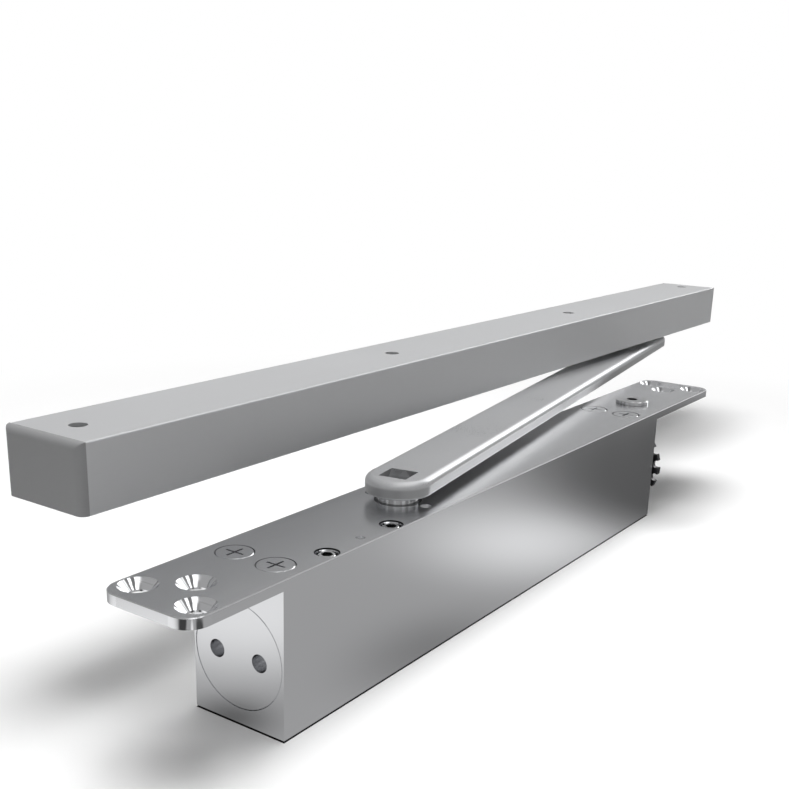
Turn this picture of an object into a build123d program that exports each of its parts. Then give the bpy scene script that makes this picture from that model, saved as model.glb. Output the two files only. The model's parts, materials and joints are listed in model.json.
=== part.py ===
from build123d import *
import math
import os

# Cam action door closer with a slide track, in millimetres. The origin is on the spindle axis at the
# underside of the housing, +X runs along the housing to the adjuster end, +Y to the track, +Z up.

# Housing block and its mounting flange
BODY_LENGTH = 240.5
BODY_WIDTH = 32.0
BODY_HEIGHT = 45.5
SPINDLE_FROM_LEFT_END = 72.3
FLANGE_LENGTH = 336.0
FLANGE_THICKNESS = 3.0
FLANGE_CORNER_RADIUS = 6.0
LEFT_FLANGE_OVERHANG = 32.3
EDGE_BREAK = 0.25

# Flange screw holes: a pair near the end and a single one further in
SCREW_HEAD_DIAMETER = 10.4
SCREW_HOLE_DIAMETER = 5.5
SCREW_END_DISTANCE = 8.0
SCREW_PAIR_SPACING = 20.0
SCREW_STEP = 10.0

# Main bore and the plugs that close its ends
BORE_DIAMETER = 27.0
BORE_FROM_TOP = 25.6
PLUG_FLANGE_DIAMETER = 30.9
PLUG_FLANGE_THICKNESS = 3.0
PLUG_LENGTH = 14.0
PLUG_SEAL_INSET = 4.5
SPANNER_HOLE_DIAMETER = 5.2
SPANNER_HOLE_SPACING = 15.1
SPANNER_HOLE_DEPTH = 6.0

# Clearances: a running fit, a push fit, and the gap round a threaded plug
RUNNING_FIT = 0.06
PUSH_FIT = 0.02
SEAM = 0.1
CUTTING_MARGIN = 1.0

# O-rings, piston rings and their grooves
RING_WIDTH = 2.6
RING_DEPTH = 1.3
SMALL_RING_WIDTH = 1.5
SMALL_RING_DEPTH = 0.75

# Spindle with its heart cam
SPINDLE_DIAMETER = 13.0
LOWER_JOURNAL_DIAMETER = 10.0
CAM_THICKNESS = 11.0
CAM_NOTCH_RADIUS = 5.8
CAM_LIFT = 7.2257
CAM_CONTACT_GAP = 0.2
CHAMBER_CLEARANCE = 0.75
CHAMBER_HEADROOM = 1.5
SQUARE_SIZE = 9.2
SQUARE_ENGAGEMENT = 0.65
BUSH_WALL = 1.8
UPPER_BUSH_LENGTH = 6.4
SHAFT_SEAL_HEIGHT = 2.2
COVER_THICKNESS = 6.0
COVER_FLOOR = 1.5
COVER_SEAL_HEIGHT = 2.5
LOWER_BUSH_WALL = 2.0
COVER_SPANNER_DIAMETER = 3.0
COVER_SPANNER_SPACING = 20.0
COVER_SPANNER_DEPTH = 2.5
AXIAL_PLAY = 0.3

# Rollers and pistons
ROLLER_DIAMETER = 9.0
ROLLER_HEIGHT = 10.4
ROLLER_PIN_DIAMETER = 4.0
ROLLER_PIN_LENGTH = 17.8
FORK_NOSE = 2.6
FORK_SLOT_HEIGHT = 11.8
FORK_SLOT_REAR = 5.1
PISTON_LENGTH = 34.6
PISTON_RING_FROM_REAR = 16.0
SPRING_PISTON_POCKET_DIAMETER = 21.2
SPRING_PISTON_POCKET_DEPTH = 18.0
DAMPING_PISTON_POCKET_DIAMETER = 17.6
DAMPING_PISTON_POCKET_DEPTH = 12.0
OIL_PASSAGE_DIAMETER = 2.8
CHECK_BALL_DIAMETER = 4.4
CHECK_BORE_DIAMETER = 5.0
CHECK_BORE_DEPTH = 7.6
CHECK_RETAINER_LENGTH = 2.4

# Springs of rectangular wire
CLOSING_SPRING_MEAN_DIAMETER = 16.8
CLOSING_SPRING_WIRE_WIDTH = 3.0
CLOSING_SPRING_WIRE_HEIGHT = 3.2
CLOSING_SPRING_TURNS = 8
FOLLOWER_SPRING_MEAN_DIAMETER = 14.4
FOLLOWER_SPRING_WIRE = 1.4
FOLLOWER_SPRING_TURNS = 4
FOLLOWER_POCKET_DIAMETER = 17.2
FOLLOWER_POCKET_DEPTH = 3.0
SPRING_END_PLAY = 0.1

# Spring force adjustment
SEAT_THICKNESS = 8.0
SEAT_FROM_RIGHT_END = 42.2
SCREW_SHAFT_DIAMETER = 8.0
THRUST_COLLAR_DIAMETER = 15.0
THRUST_COLLAR_THICKNESS = 3.0
THRUST_WASHER_DIAMETER = 18.0
THRUST_WASHER_THICKNESS = 1.0
ADJUSTING_SCREW_TAIL = 30.0
WHEEL_TEETH = 18
WHEEL_TIP_DIAMETER = 35.0
WHEEL_TOOTH_DEPTH = 2.5
WHEEL_GAP_WIDTH = 3.25
WHEEL_THICKNESS = 2.5
WHEEL_FROM_BODY = 3.2
WHEEL_HUB_DIAMETER = 14.0
WHEEL_HUB_RISE = 2.0
WHEEL_PHASE = 3.4
PINION_TEETH = 6
PINION_FROM_BODY = 9.7
PINION_DISC_DIAMETER = 12.6
PINION_DISC_THICKNESS = 3.7
PINION_TOOTH_RADIAL = 1.4
PINION_TOOTH_ROOT_WIDTH = 1.4
PINION_TOOTH_TIP_WIDTH = 0.8
PINION_TIP_CLEARANCE = 0.5
ADJUSTER_HEAD_DIAMETER = 14.0
ADJUSTER_HEAD_HEIGHT = 1.6
ADJUSTER_HEAD_CHAMFER = 0.25
ADJUSTER_SHAFT_DIAMETER = 7.0
ADJUSTER_HEX = 4.0
ADJUSTER_HEX_DEPTH = 4.5
CROSS_PIN_DIAMETER = 1.6
CIRCLIP_THICKNESS = 1.0
CIRCLIP_GROOVE_DEPTH = 0.5
CIRCLIP_RISE = 2.0

# Regulating valves and the small plugs in the top face
VALVE_PLACES = (-49.9, -20.3)
VALVE_FROM_CENTRE = 12.0
VALVE_DIAMETER = 6.0
VALVE_RECESS_DIAMETER = 7.1
VALVE_RECESS_DEPTH = 2.2
VALVE_SUNK = 0.5
VALVE_CHAMFER = 0.8
VALVE_LENGTH = 12.5
VALVE_HEX = 3.0
VALVE_HEX_DEPTH = 3.0
VALVE_SEAL_FROM_TOP = 5.5
VALVE_PORT_DIAMETER = 1.6
SEALING_PLUG_DIAMETER = 10.6
SEALING_PLUG_DEPTH = 6.0
SEALING_PLUG_SPACING = 14.5
LEFT_PLUGS_FROM_END = 7.05
RIGHT_PLUGS_FROM_END = 13.0
SLOT_LENGTH = 6.2
SLOT_WIDTH = 0.7
SLOT_DEPTH = 1.2
CHANNEL_PLUG_DEPTH = 5.6
CHANNEL_PLUG_SUNK = 0.6
VALVE_CHANNEL_PLUG_DIAMETER = 2.8
SPINDLE_CHANNEL_PLUG_DIAMETER = 3.5
SPINDLE_CHANNEL_PLUG_SPACING = 21.0

# Arm, at its place in the photograph
ARM_REST_ANGLE = 9.15
ARM_GAP = 2.7
ARM_THICKNESS = 5.55
ARM_WIDTH = 21.2
ARM_END_CENTRE = 0.6
ARM_TIP_MARGIN = 5.0
ARM_TOP_ROUNDING = 1.9
ARM_BOTTOM_ROUNDING = 0.6

# Slide track, its block and the pin that carries it
TRACK_LENGTH = 460.3
TRACK_WIDTH = 31.0
TRACK_HEIGHT = 19.8
TRACK_CENTRE_X = 136.7
TRACK_CENTRE_Y = 49.0
TRACK_GAP = 11.1
TRACK_SIDE_WALL = 3.0
TRACK_ROOF = 3.0
TRACK_LIP = 2.5
TRACK_SLOT_WIDTH = 12.0
TRACK_EDGE_RADIUS = 0.5
TRACK_HOLE_DIAMETER = 5.2
TRACK_HOLE_COUNT = 4
TRACK_HOLE_FROM_END = 12.65
CAP_THICKNESS = 2.4
CAP_TONGUE_LENGTH = 4.5
CAP_TONGUE_FIT = 0.15
BLOCK_LENGTH = 30.0
BLOCK_SIDE_PLAY = 0.3
BLOCK_CORNER_RADIUS = 3.0
BLOCK_RECESS_DIAMETER = 14.0
BLOCK_RECESS_DEPTH = 3.0
PIVOT_DIAMETER = 8.0
PIVOT_SPIGOT_DIAMETER = 7.0
PIVOT_SHOULDER_DIAMETER = 12.4
PIVOT_SHOULDER_THICKNESS = 1.8

# Places worked out from the sizes above
BODY_LEFT = -SPINDLE_FROM_LEFT_END
BODY_RIGHT = BODY_LEFT + BODY_LENGTH
FLANGE_LEFT = BODY_LEFT - LEFT_FLANGE_OVERHANG
FLANGE_RIGHT = FLANGE_LEFT + FLANGE_LENGTH
FLANGE_UNDERSIDE = BODY_HEIGHT - FLANGE_THICKNESS
BORE_HEIGHT = BODY_HEIGHT - BORE_FROM_TOP
BORE_RADIUS = BORE_DIAMETER / 2
PISTON_RADIUS = BORE_RADIUS - RUNNING_FIT
ROLLER_RADIUS = ROLLER_DIAMETER / 2
CAM_RISE_PER_RADIAN = CAM_LIFT / math.pi
PITCH_START = CAM_NOTCH_RADIUS + CAM_CONTACT_GAP + ROLLER_RADIUS
CAM_OFFSET = ROLLER_RADIUS + CAM_CONTACT_GAP
CAM_TIP_RADIUS = CAM_NOTCH_RADIUS + CAM_LIFT
CHAMBER_RADIUS = CAM_TIP_RADIUS + CHAMBER_CLEARANCE
CAM_BOTTOM = BORE_HEIGHT - CAM_THICKNESS / 2
CAM_TOP = BORE_HEIGHT + CAM_THICKNESS / 2
SPINDLE_RADIUS = SPINDLE_DIAMETER / 2
SPINDLE_HOLE_RADIUS = SPINDLE_RADIUS + RUNNING_FIT
BUSH_OUTER_RADIUS = SPINDLE_RADIUS + BUSH_WALL
UPPER_BUSH_BOTTOM = BORE_HEIGHT + BORE_RADIUS + 2 * AXIAL_PLAY
UPPER_BUSH_TOP = UPPER_BUSH_BOTTOM + UPPER_BUSH_LENGTH
SHAFT_SEAL_BOTTOM = UPPER_BUSH_TOP + AXIAL_PLAY
SHAFT_SEAL_TOP = SHAFT_SEAL_BOTTOM + SHAFT_SEAL_HEIGHT
SPRING_ROLLER_X = PITCH_START
DAMPING_ROLLER_X = -(PITCH_START + CAM_LIFT)
SPRING_PISTON_FRONT = SPRING_ROLLER_X - FORK_NOSE
SPRING_PISTON_REAR = SPRING_PISTON_FRONT + PISTON_LENGTH
DAMPING_PISTON_FRONT = DAMPING_ROLLER_X + FORK_NOSE
DAMPING_PISTON_REAR = DAMPING_PISTON_FRONT - PISTON_LENGTH
PISTON_OVER_COVER = CHAMBER_RADIUS + SEAM - SPRING_PISTON_FRONT
LEFT_PLUG_INNER = BODY_LEFT + PLUG_FLANGE_THICKNESS + PLUG_LENGTH
RIGHT_PLUG_INNER = BODY_RIGHT - PLUG_FLANGE_THICKNESS - PLUG_LENGTH
SEAT_RIGHT = BODY_RIGHT - SEAT_FROM_RIGHT_END
SEAT_LEFT = SEAT_RIGHT - SEAT_THICKNESS
THRUST_WASHER_LEFT = RIGHT_PLUG_INNER - THRUST_WASHER_THICKNESS
THRUST_COLLAR_LEFT = THRUST_WASHER_LEFT - THRUST_COLLAR_THICKNESS
SCREW_SHAFT_RADIUS = SCREW_SHAFT_DIAMETER / 2
WHEEL_LEFT = BODY_RIGHT + WHEEL_FROM_BODY
WHEEL_RIGHT = WHEEL_LEFT + WHEEL_THICKNESS
WHEEL_HUB_RIGHT = WHEEL_RIGHT + WHEEL_HUB_RISE
WHEEL_ROOT_RADIUS = WHEEL_TIP_DIAMETER / 2 - WHEEL_TOOTH_DEPTH
WHEEL_CIRCLIP_LEFT = WHEEL_HUB_RIGHT + SEAM
SCREW_SHAFT_RIGHT = WHEEL_CIRCLIP_LEFT + 2 * CIRCLIP_THICKNESS
PINION_X = BODY_RIGHT + PINION_FROM_BODY
PINION_TOP = FLANGE_UNDERSIDE - SEAM
PINION_DISC_BOTTOM = PINION_TOP - PINION_DISC_THICKNESS
PINION_TOOTH_BOTTOM = BORE_HEIGHT + WHEEL_ROOT_RADIUS + PINION_TIP_CLEARANCE
VALVE_TOP = BODY_HEIGHT - VALVE_SUNK
VALVE_BOTTOM = VALVE_TOP - VALVE_LENGTH
ARM_BOTTOM = BODY_HEIGHT + ARM_GAP
ARM_TOP = ARM_BOTTOM + ARM_THICKNESS
PIVOT_DISTANCE = TRACK_CENTRE_Y / math.sin(math.radians(ARM_REST_ANGLE))
PIVOT_X = PIVOT_DISTANCE * math.cos(math.radians(ARM_REST_ANGLE))
TRACK_LEFT = TRACK_CENTRE_X - TRACK_LENGTH / 2
TRACK_RIGHT = TRACK_CENTRE_X + TRACK_LENGTH / 2
TRACK_HOLE_SPACING = (TRACK_LENGTH - 2 * TRACK_HOLE_FROM_END) / (TRACK_HOLE_COUNT - 1)
TRACK_BOTTOM = BODY_HEIGHT + TRACK_GAP
TRACK_TOP = TRACK_BOTTOM + TRACK_HEIGHT
CHANNEL_BOTTOM = TRACK_BOTTOM + TRACK_LIP
CHANNEL_TOP = TRACK_TOP - TRACK_ROOF
CHANNEL_WIDTH = TRACK_WIDTH - 2 * TRACK_SIDE_WALL
BLOCK_BOTTOM = CHANNEL_BOTTOM + BLOCK_SIDE_PLAY
BLOCK_TOP = CHANNEL_TOP - BLOCK_SIDE_PLAY
BLOCK_RECESS_FLOOR = BLOCK_TOP - BLOCK_RECESS_DEPTH
PIN_CIRCLIP_BOTTOM = BLOCK_RECESS_FLOOR + AXIAL_PLAY
PIN_TOP = BLOCK_TOP - AXIAL_PLAY
ON_CENTRE = (Align.CENTER, Align.CENTER, Align.MIN)


def upright(radius, low, high, x=0.0, y=0.0):
    """Vertical cylinder between two heights."""
    return Pos(x, y, low) * Cylinder(radius, high - low, align=ON_CENTRE)


def lengthwise(radius, start, end, y=0.0, z=BORE_HEIGHT):
    """Cylinder along the housing between two places on the X axis."""
    return Pos(start, y, z) * Rot(0, 90, 0) * Cylinder(radius, end - start, align=ON_CENTRE)


def brick(x_range, y_range, z_range):
    """Box between two corners."""
    centre = [(low + high) / 2 for low, high in (x_range, y_range, z_range)]
    size = [high - low for low, high in (x_range, y_range, z_range)]
    return Pos(*centre) * Box(*size)


def upright_ring(outer, inner, low, high, x=0.0, y=0.0):
    """Vertical ring, such as a bush or a circlip."""
    return upright(outer, low, high, x, y) - upright(inner, low, high, x, y)


def lengthwise_ring(outer, inner, start, end):
    """Ring round the main bore's axis."""
    return lengthwise(outer, start, end) - lengthwise(inner, start, end)


def hex_socket(across_flats, low, high, x=0.0, y=0.0):
    """Hexagonal prism that cuts a key socket."""
    outline = RegularPolygon(across_flats / 2, 6, major_radius=False)
    return Pos(x, y, low) * extrude(outline, high - low)


def spread(count, spacing, middle=0.0):
    """Places evenly spaced about a middle."""
    return [middle + (index - (count - 1) / 2) * spacing for index in range(count)]


def screw_places():
    """Centres of the six flange screws, a mirrored triangle at each end."""
    places = []
    for end, inward in ((FLANGE_LEFT, 1), (FLANGE_RIGHT, -1)):
        pair_x = end + inward * SCREW_END_DISTANCE
        places += [(pair_x, y) for y in spread(2, SCREW_PAIR_SPACING)]
        places.append((pair_x + inward * SCREW_STEP, 0.0))
    return places


def countersunk_hole(x, y):
    """Through hole with a 90 degree countersink under the flange's top face."""
    head, hole = SCREW_HEAD_DIAMETER / 2, SCREW_HOLE_DIAMETER / 2
    sink = Pos(x, y, BODY_HEIGHT - (head - hole)) * Cone(hole, head, head - hole, align=ON_CENTRE)
    return sink + upright(hole, FLANGE_UNDERSIDE - CUTTING_MARGIN, BODY_HEIGHT, x, y)


def sealing_plug_places():
    """Centres of the four cross-slotted plugs."""
    columns = (BODY_LEFT + LEFT_PLUGS_FROM_END, BODY_RIGHT - RIGHT_PLUGS_FROM_END)
    return [(x, y) for x in columns for y in spread(2, SEALING_PLUG_SPACING)]


def channel_plug_places():
    """Centre and radius of each pressed plug that closes an oil channel."""
    between_valves = (sum(VALVE_PLACES) / 2, -VALVE_FROM_CENTRE, VALVE_CHANNEL_PLUG_DIAMETER / 2)
    beside = [(0.0, y, SPINDLE_CHANNEL_PLUG_DIAMETER / 2) for y in spread(2, SPINDLE_CHANNEL_PLUG_SPACING)]
    return [between_valves] + beside


def closer_body():
    """Housing block with its flanges, bored for the cam, the pistons, the valves and the plugs."""
    half = BODY_WIDTH / 2
    flange_outline = RectangleRounded(FLANGE_LENGTH, BODY_WIDTH, FLANGE_CORNER_RADIUS)
    flange_middle = (FLANGE_LEFT + FLANGE_RIGHT) / 2
    flange = Pos(flange_middle, 0, FLANGE_UNDERSIDE) * extrude(flange_outline, FLANGE_THICKNESS)
    flange = chamfer(flange.faces().sort_by(Axis.Z)[-1].edges(), EDGE_BREAK)
    body = flange + brick((BODY_LEFT, BODY_RIGHT), (-half, half), (0, FLANGE_UNDERSIDE))
    body -= lengthwise(BORE_RADIUS, BODY_LEFT, BODY_RIGHT)
    counterbore = PLUG_FLANGE_DIAMETER / 2 + SEAM
    body -= lengthwise(counterbore, BODY_LEFT, BODY_LEFT + PLUG_FLANGE_THICKNESS)
    body -= lengthwise(counterbore, BODY_RIGHT - PLUG_FLANGE_THICKNESS, BODY_RIGHT)
    body -= upright(CHAMBER_RADIUS, 0, CAM_TOP + CHAMBER_HEADROOM)
    body -= upright(BUSH_OUTER_RADIUS, BORE_HEIGHT, SHAFT_SEAL_TOP + SEAM)
    body -= upright(SPINDLE_HOLE_RADIUS, BORE_HEIGHT, BODY_HEIGHT)
    for x, y in screw_places():
        body -= countersunk_hole(x, y)
    for x, y in sealing_plug_places():
        radius = SEALING_PLUG_DIAMETER / 2 + SEAM
        body -= upright(radius, BODY_HEIGHT - SEALING_PLUG_DEPTH, BODY_HEIGHT, x, y)
    for x, y, radius in channel_plug_places():
        body -= upright(radius + PUSH_FIT, BODY_HEIGHT - CHANNEL_PLUG_DEPTH, BODY_HEIGHT, x, y)
    for x in VALVE_PLACES:
        y = -VALVE_FROM_CENTRE
        body -= upright(VALVE_RECESS_DIAMETER / 2, BODY_HEIGHT - VALVE_RECESS_DEPTH, BODY_HEIGHT, x, y)
        body -= upright(VALVE_DIAMETER / 2 + RUNNING_FIT, VALVE_BOTTOM - SMALL_RING_WIDTH, BODY_HEIGHT, x, y)
        body -= upright(VALVE_PORT_DIAMETER / 2, BORE_HEIGHT, VALVE_BOTTOM, x, y)
    body -= upright(ADJUSTER_SHAFT_DIAMETER / 2 + RUNNING_FIT, FLANGE_UNDERSIDE, BODY_HEIGHT, PINION_X)
    return body


def ring_groove(outer, start):
    """Groove for a piston ring or an O-ring round the main bore's axis."""
    return lengthwise_ring(outer + CUTTING_MARGIN, outer - RING_DEPTH, start, start + RING_WIDTH)


def ring_seal(outer, start):
    """Ring that fills a groove up to the bore."""
    return lengthwise_ring(outer, outer - RING_DEPTH, start + SEAM, start + RING_WIDTH - SEAM)


def end_plug_blank(outer_face, inward):
    """Flanged plug with a seal groove and two pin-spanner holes in its outer face."""
    shoulder = outer_face + inward * PLUG_FLANGE_THICKNESS
    inner = shoulder + inward * PLUG_LENGTH
    flange = lengthwise(PLUG_FLANGE_DIAMETER / 2, *sorted((outer_face, shoulder)))
    rim = flange.edges().filter_by(GeomType.CIRCLE).sort_by(lambda edge: abs(edge.center().X - outer_face))[0]
    plug = chamfer(rim, EDGE_BREAK) + lengthwise(BORE_RADIUS - RUNNING_FIT, *sorted((shoulder, inner)))
    plug -= ring_groove(BORE_RADIUS - RUNNING_FIT, plug_seal_start(outer_face, inward))
    hole_end = outer_face + inward * SPANNER_HOLE_DEPTH
    for y in spread(2, SPANNER_HOLE_SPACING):
        plug -= lengthwise(SPANNER_HOLE_DIAMETER / 2, *sorted((outer_face, hole_end)), y=y)
    return plug


def plug_seal_start(outer_face, inward):
    """Left side of the seal groove of an end plug."""
    far_side = outer_face + inward * (PLUG_FLANGE_THICKNESS + PLUG_SEAL_INSET)
    return min(far_side, far_side + inward * RING_WIDTH)


def end_plug():
    """Left plug, hollowed inside for the end of the follower spring."""
    pocket_end = LEFT_PLUG_INNER - FOLLOWER_POCKET_DEPTH
    pocket = lengthwise(FOLLOWER_POCKET_DIAMETER / 2, pocket_end, LEFT_PLUG_INNER)
    return end_plug_blank(BODY_LEFT, 1) - pocket


def spring_end_plug():
    """Right plug, bored for the adjusting screw."""
    bore = lengthwise(SCREW_SHAFT_RADIUS + RUNNING_FIT, RIGHT_PLUG_INNER, BODY_RIGHT)
    return end_plug_blank(BODY_RIGHT, -1) - bore


def sealing_plugs():
    """Four flush discs with a cross slot."""
    plugs = []
    for x, y in sealing_plug_places():
        disc = upright(SEALING_PLUG_DIAMETER / 2, BODY_HEIGHT - SEALING_PLUG_DEPTH, BODY_HEIGHT, x, y)
        disc = chamfer(disc.edges().sort_by(Axis.Z)[-1], EDGE_BREAK)
        for length, width in ((SLOT_LENGTH, SLOT_WIDTH), (SLOT_WIDTH, SLOT_LENGTH)):
            disc -= Pos(x, y, BODY_HEIGHT - SLOT_DEPTH / 2) * Box(length, width, SLOT_DEPTH)
        plugs.append(disc)
    return Compound(children=plugs)


def channel_plugs():
    """Pressed pins that close the drilled oil channels, sunk a little under the top face."""
    bottom = BODY_HEIGHT - CHANNEL_PLUG_DEPTH
    top = BODY_HEIGHT - CHANNEL_PLUG_SUNK
    return Compound(children=[upright(radius, bottom, top, x, y) for x, y, radius in channel_plug_places()])


def pitch_point(angle):
    """Place of a roller's centre, turned with the cam: its distance grows evenly with the angle."""
    reach = PITCH_START + CAM_RISE_PER_RADIAN * angle
    return reach * math.cos(angle), reach * math.sin(angle)


def cam_point(angle):
    """Point of the cam's flank: the roller's path moved inwards by the roller's radius and the gap."""
    reach = PITCH_START + CAM_RISE_PER_RADIAN * angle
    slope_x = CAM_RISE_PER_RADIAN * math.cos(angle) - reach * math.sin(angle)
    slope_y = CAM_RISE_PER_RADIAN * math.sin(angle) + reach * math.cos(angle)
    length = math.hypot(slope_x, slope_y)
    x, y = pitch_point(angle)
    return x - CAM_OFFSET * slope_y / length, y + CAM_OFFSET * slope_x / length


def cam_outline():
    """Heart shape: a round notch where the spring's roller rests, and two flanks that rise evenly."""
    steps = 14
    tip_angle = math.pi
    while cam_point(tip_angle)[1] < 0:
        tip_angle -= 0.002
    flank = [cam_point(tip_angle * index / steps) for index in range(steps)]
    flank.append((cam_point(tip_angle)[0], 0.0))
    other_flank = [(x, -y) for x, y in flank]
    notch = ThreePointArc(other_flank[0], (PITCH_START - CAM_OFFSET, 0.0), flank[0])
    return make_face([notch, Spline(*flank), Spline(*other_flank)])


def cam_spindle():
    """Spindle with its heart cam, two journals and the square end that drives the arm."""
    half_journal = LOWER_JOURNAL_DIAMETER / 2
    spindle = upright(half_journal, COVER_FLOOR + AXIAL_PLAY, CAM_BOTTOM)
    spindle += upright(SPINDLE_RADIUS, COVER_THICKNESS + AXIAL_PLAY, CAM_BOTTOM)
    spindle += Pos(0, 0, CAM_BOTTOM) * extrude(cam_outline(), CAM_THICKNESS)
    spindle += upright(SPINDLE_RADIUS, CAM_TOP, ARM_BOTTOM)
    square = SQUARE_SIZE - 2 * PUSH_FIT
    stub = Pos(0, 0, ARM_BOTTOM + SQUARE_ENGAGEMENT / 2) * Box(square, square, SQUARE_ENGAGEMENT)
    return spindle + Rot(0, 0, ARM_REST_ANGLE) * stub


def upper_bush():
    """Plain bearing bush round the spindle's upper journal."""
    return upright_ring(BUSH_OUTER_RADIUS - PUSH_FIT, SPINDLE_HOLE_RADIUS, UPPER_BUSH_BOTTOM, UPPER_BUSH_TOP)


def shaft_seal():
    """Seal ring between the upper bush and the top wall."""
    return upright_ring(BUSH_OUTER_RADIUS - PUSH_FIT, SPINDLE_HOLE_RADIUS, SHAFT_SEAL_BOTTOM, SHAFT_SEAL_TOP)


def bearing_cover():
    """Round cover in the underside that holds the lower bush, with its O-ring groove and spanner holes."""
    outer = CHAMBER_RADIUS - SEAM
    cover = upright(outer, 0, COVER_THICKNESS)
    cover -= upright(lower_bush_radius() + PUSH_FIT, COVER_FLOOR, COVER_THICKNESS)
    low, high = COVER_SEAL_HEIGHT, COVER_SEAL_HEIGHT + RING_WIDTH
    cover -= upright_ring(outer + CUTTING_MARGIN, outer - RING_DEPTH, low, high)
    for x in spread(2, COVER_SPANNER_SPACING):
        cover -= upright(COVER_SPANNER_DIAMETER / 2, 0, COVER_SPANNER_DEPTH, x)
    return cover


def bearing_cover_seal():
    """O-ring of the bearing cover."""
    outer = CHAMBER_RADIUS - SEAM
    low = COVER_SEAL_HEIGHT + SEAM
    return upright_ring(outer, outer - RING_DEPTH, low, low + RING_WIDTH - 2 * SEAM)


def lower_bush_radius():
    """Outer radius of the lower bush."""
    return LOWER_JOURNAL_DIAMETER / 2 + LOWER_BUSH_WALL


def lower_bush():
    """Plain bearing bush in the cover."""
    inner = LOWER_JOURNAL_DIAMETER / 2 + RUNNING_FIT
    return upright_ring(lower_bush_radius(), inner, COVER_FLOOR, COVER_THICKNESS)


def piston_blank(pocket_diameter, pocket_depth):
    """Piston with its fork nose at X = 0 and its spring pocket at the other end, on the bore's axis."""
    piston = lengthwise(PISTON_RADIUS, 0, PISTON_LENGTH)
    half_slot = FORK_SLOT_HEIGHT / 2
    slot_heights = (BORE_HEIGHT - half_slot, BORE_HEIGHT + half_slot)
    piston -= brick((0, FORK_NOSE + FORK_SLOT_REAR), (-BORE_DIAMETER, BORE_DIAMETER), slot_heights)
    over_cover = (0, COVER_THICKNESS + AXIAL_PLAY)
    piston -= brick((0, PISTON_OVER_COVER), (-BORE_DIAMETER, BORE_DIAMETER), over_cover)
    piston -= upright(ROLLER_PIN_DIAMETER / 2 + PUSH_FIT, 0, 2 * BORE_HEIGHT, FORK_NOSE)
    piston -= lengthwise(pocket_diameter / 2, PISTON_LENGTH - pocket_depth, PISTON_LENGTH)
    piston -= ring_groove(PISTON_RADIUS, PISTON_LENGTH - PISTON_RING_FROM_REAR)
    piston -= lengthwise(OIL_PASSAGE_DIAMETER / 2, FORK_NOSE, PISTON_LENGTH)
    return piston


def spring_piston():
    """Piston that the cam pushes against the closing spring."""
    blank = piston_blank(SPRING_PISTON_POCKET_DIAMETER, SPRING_PISTON_POCKET_DEPTH)
    return Pos(SPRING_PISTON_FRONT, 0, 0) * blank


def spring_piston_ring():
    """Piston ring of the spring piston."""
    return ring_seal(PISTON_RADIUS, SPRING_PISTON_REAR - PISTON_RING_FROM_REAR)


def check_bore_end():
    """X place of the check valve bore's bottom in the damping piston's own frame."""
    return PISTON_LENGTH - DAMPING_PISTON_POCKET_DEPTH - CHECK_BORE_DEPTH


def damping_piston():
    """Piston that displaces the oil, with a check valve bore behind its fork."""
    blank = piston_blank(DAMPING_PISTON_POCKET_DIAMETER, DAMPING_PISTON_POCKET_DEPTH)
    blank -= lengthwise(CHECK_BORE_DIAMETER / 2, check_bore_end(), PISTON_LENGTH)
    return Pos(DAMPING_PISTON_FRONT, 0, 0) * mirror(blank, Plane.YZ)


def damping_piston_ring():
    """Piston ring of the damping piston."""
    return ring_seal(PISTON_RADIUS, DAMPING_PISTON_REAR + PISTON_RING_FROM_REAR - RING_WIDTH)


def check_valve_ball():
    """Ball that closes the damping piston's oil passage when the door closes."""
    x = DAMPING_PISTON_FRONT - check_bore_end() - CHECK_BALL_DIAMETER / 2 - SEAM
    return Pos(x, 0, BORE_HEIGHT) * Sphere(CHECK_BALL_DIAMETER / 2)


def check_valve_retainer():
    """Pressed sleeve that keeps the ball in its bore."""
    mouth = DAMPING_PISTON_REAR + DAMPING_PISTON_POCKET_DEPTH
    outer = CHECK_BORE_DIAMETER / 2 - PUSH_FIT
    return lengthwise_ring(outer, OIL_PASSAGE_DIAMETER / 2, mouth, mouth + CHECK_RETAINER_LENGTH)


def roller(x):
    """Hardened roller between the fork's cheeks."""
    half = ROLLER_HEIGHT / 2
    inner = ROLLER_PIN_DIAMETER / 2 + RUNNING_FIT
    return upright_ring(ROLLER_RADIUS, inner, BORE_HEIGHT - half, BORE_HEIGHT + half, x)


def roller_pin(x):
    """Pin that carries a roller in its fork."""
    half = ROLLER_PIN_LENGTH / 2
    return upright(ROLLER_PIN_DIAMETER / 2, BORE_HEIGHT - half, BORE_HEIGHT + half, x)


def coil_spring(start, end, mean_diameter, wire_width, wire_height, turns):
    """Helical spring of rectangular wire along the main bore."""
    play = SPRING_END_PLAY + wire_height / 2
    height = end - start - 2 * play
    path = Helix(pitch=height / turns, height=height, radius=mean_diameter / 2)
    section = Plane(origin=path @ 0, x_dir=(1, 0, 0), z_dir=path % 0) * Rectangle(wire_width, wire_height)
    return Pos(start + play, 0, BORE_HEIGHT) * Rot(0, 90, 0) * sweep(section, path=path, is_frenet=True)


def closing_spring():
    """Spring that closes the door, between the spring piston and its seat."""
    start = SPRING_PISTON_REAR - SPRING_PISTON_POCKET_DEPTH
    return coil_spring(start, SEAT_LEFT, CLOSING_SPRING_MEAN_DIAMETER, CLOSING_SPRING_WIRE_WIDTH,
                       CLOSING_SPRING_WIRE_HEIGHT, CLOSING_SPRING_TURNS)


def follower_spring():
    """Light spring that keeps the damping piston against the cam."""
    start = LEFT_PLUG_INNER - FOLLOWER_POCKET_DEPTH
    end = DAMPING_PISTON_REAR + DAMPING_PISTON_POCKET_DEPTH
    return coil_spring(start, end, FOLLOWER_SPRING_MEAN_DIAMETER, FOLLOWER_SPRING_WIRE,
                       FOLLOWER_SPRING_WIRE, FOLLOWER_SPRING_TURNS)


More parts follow.
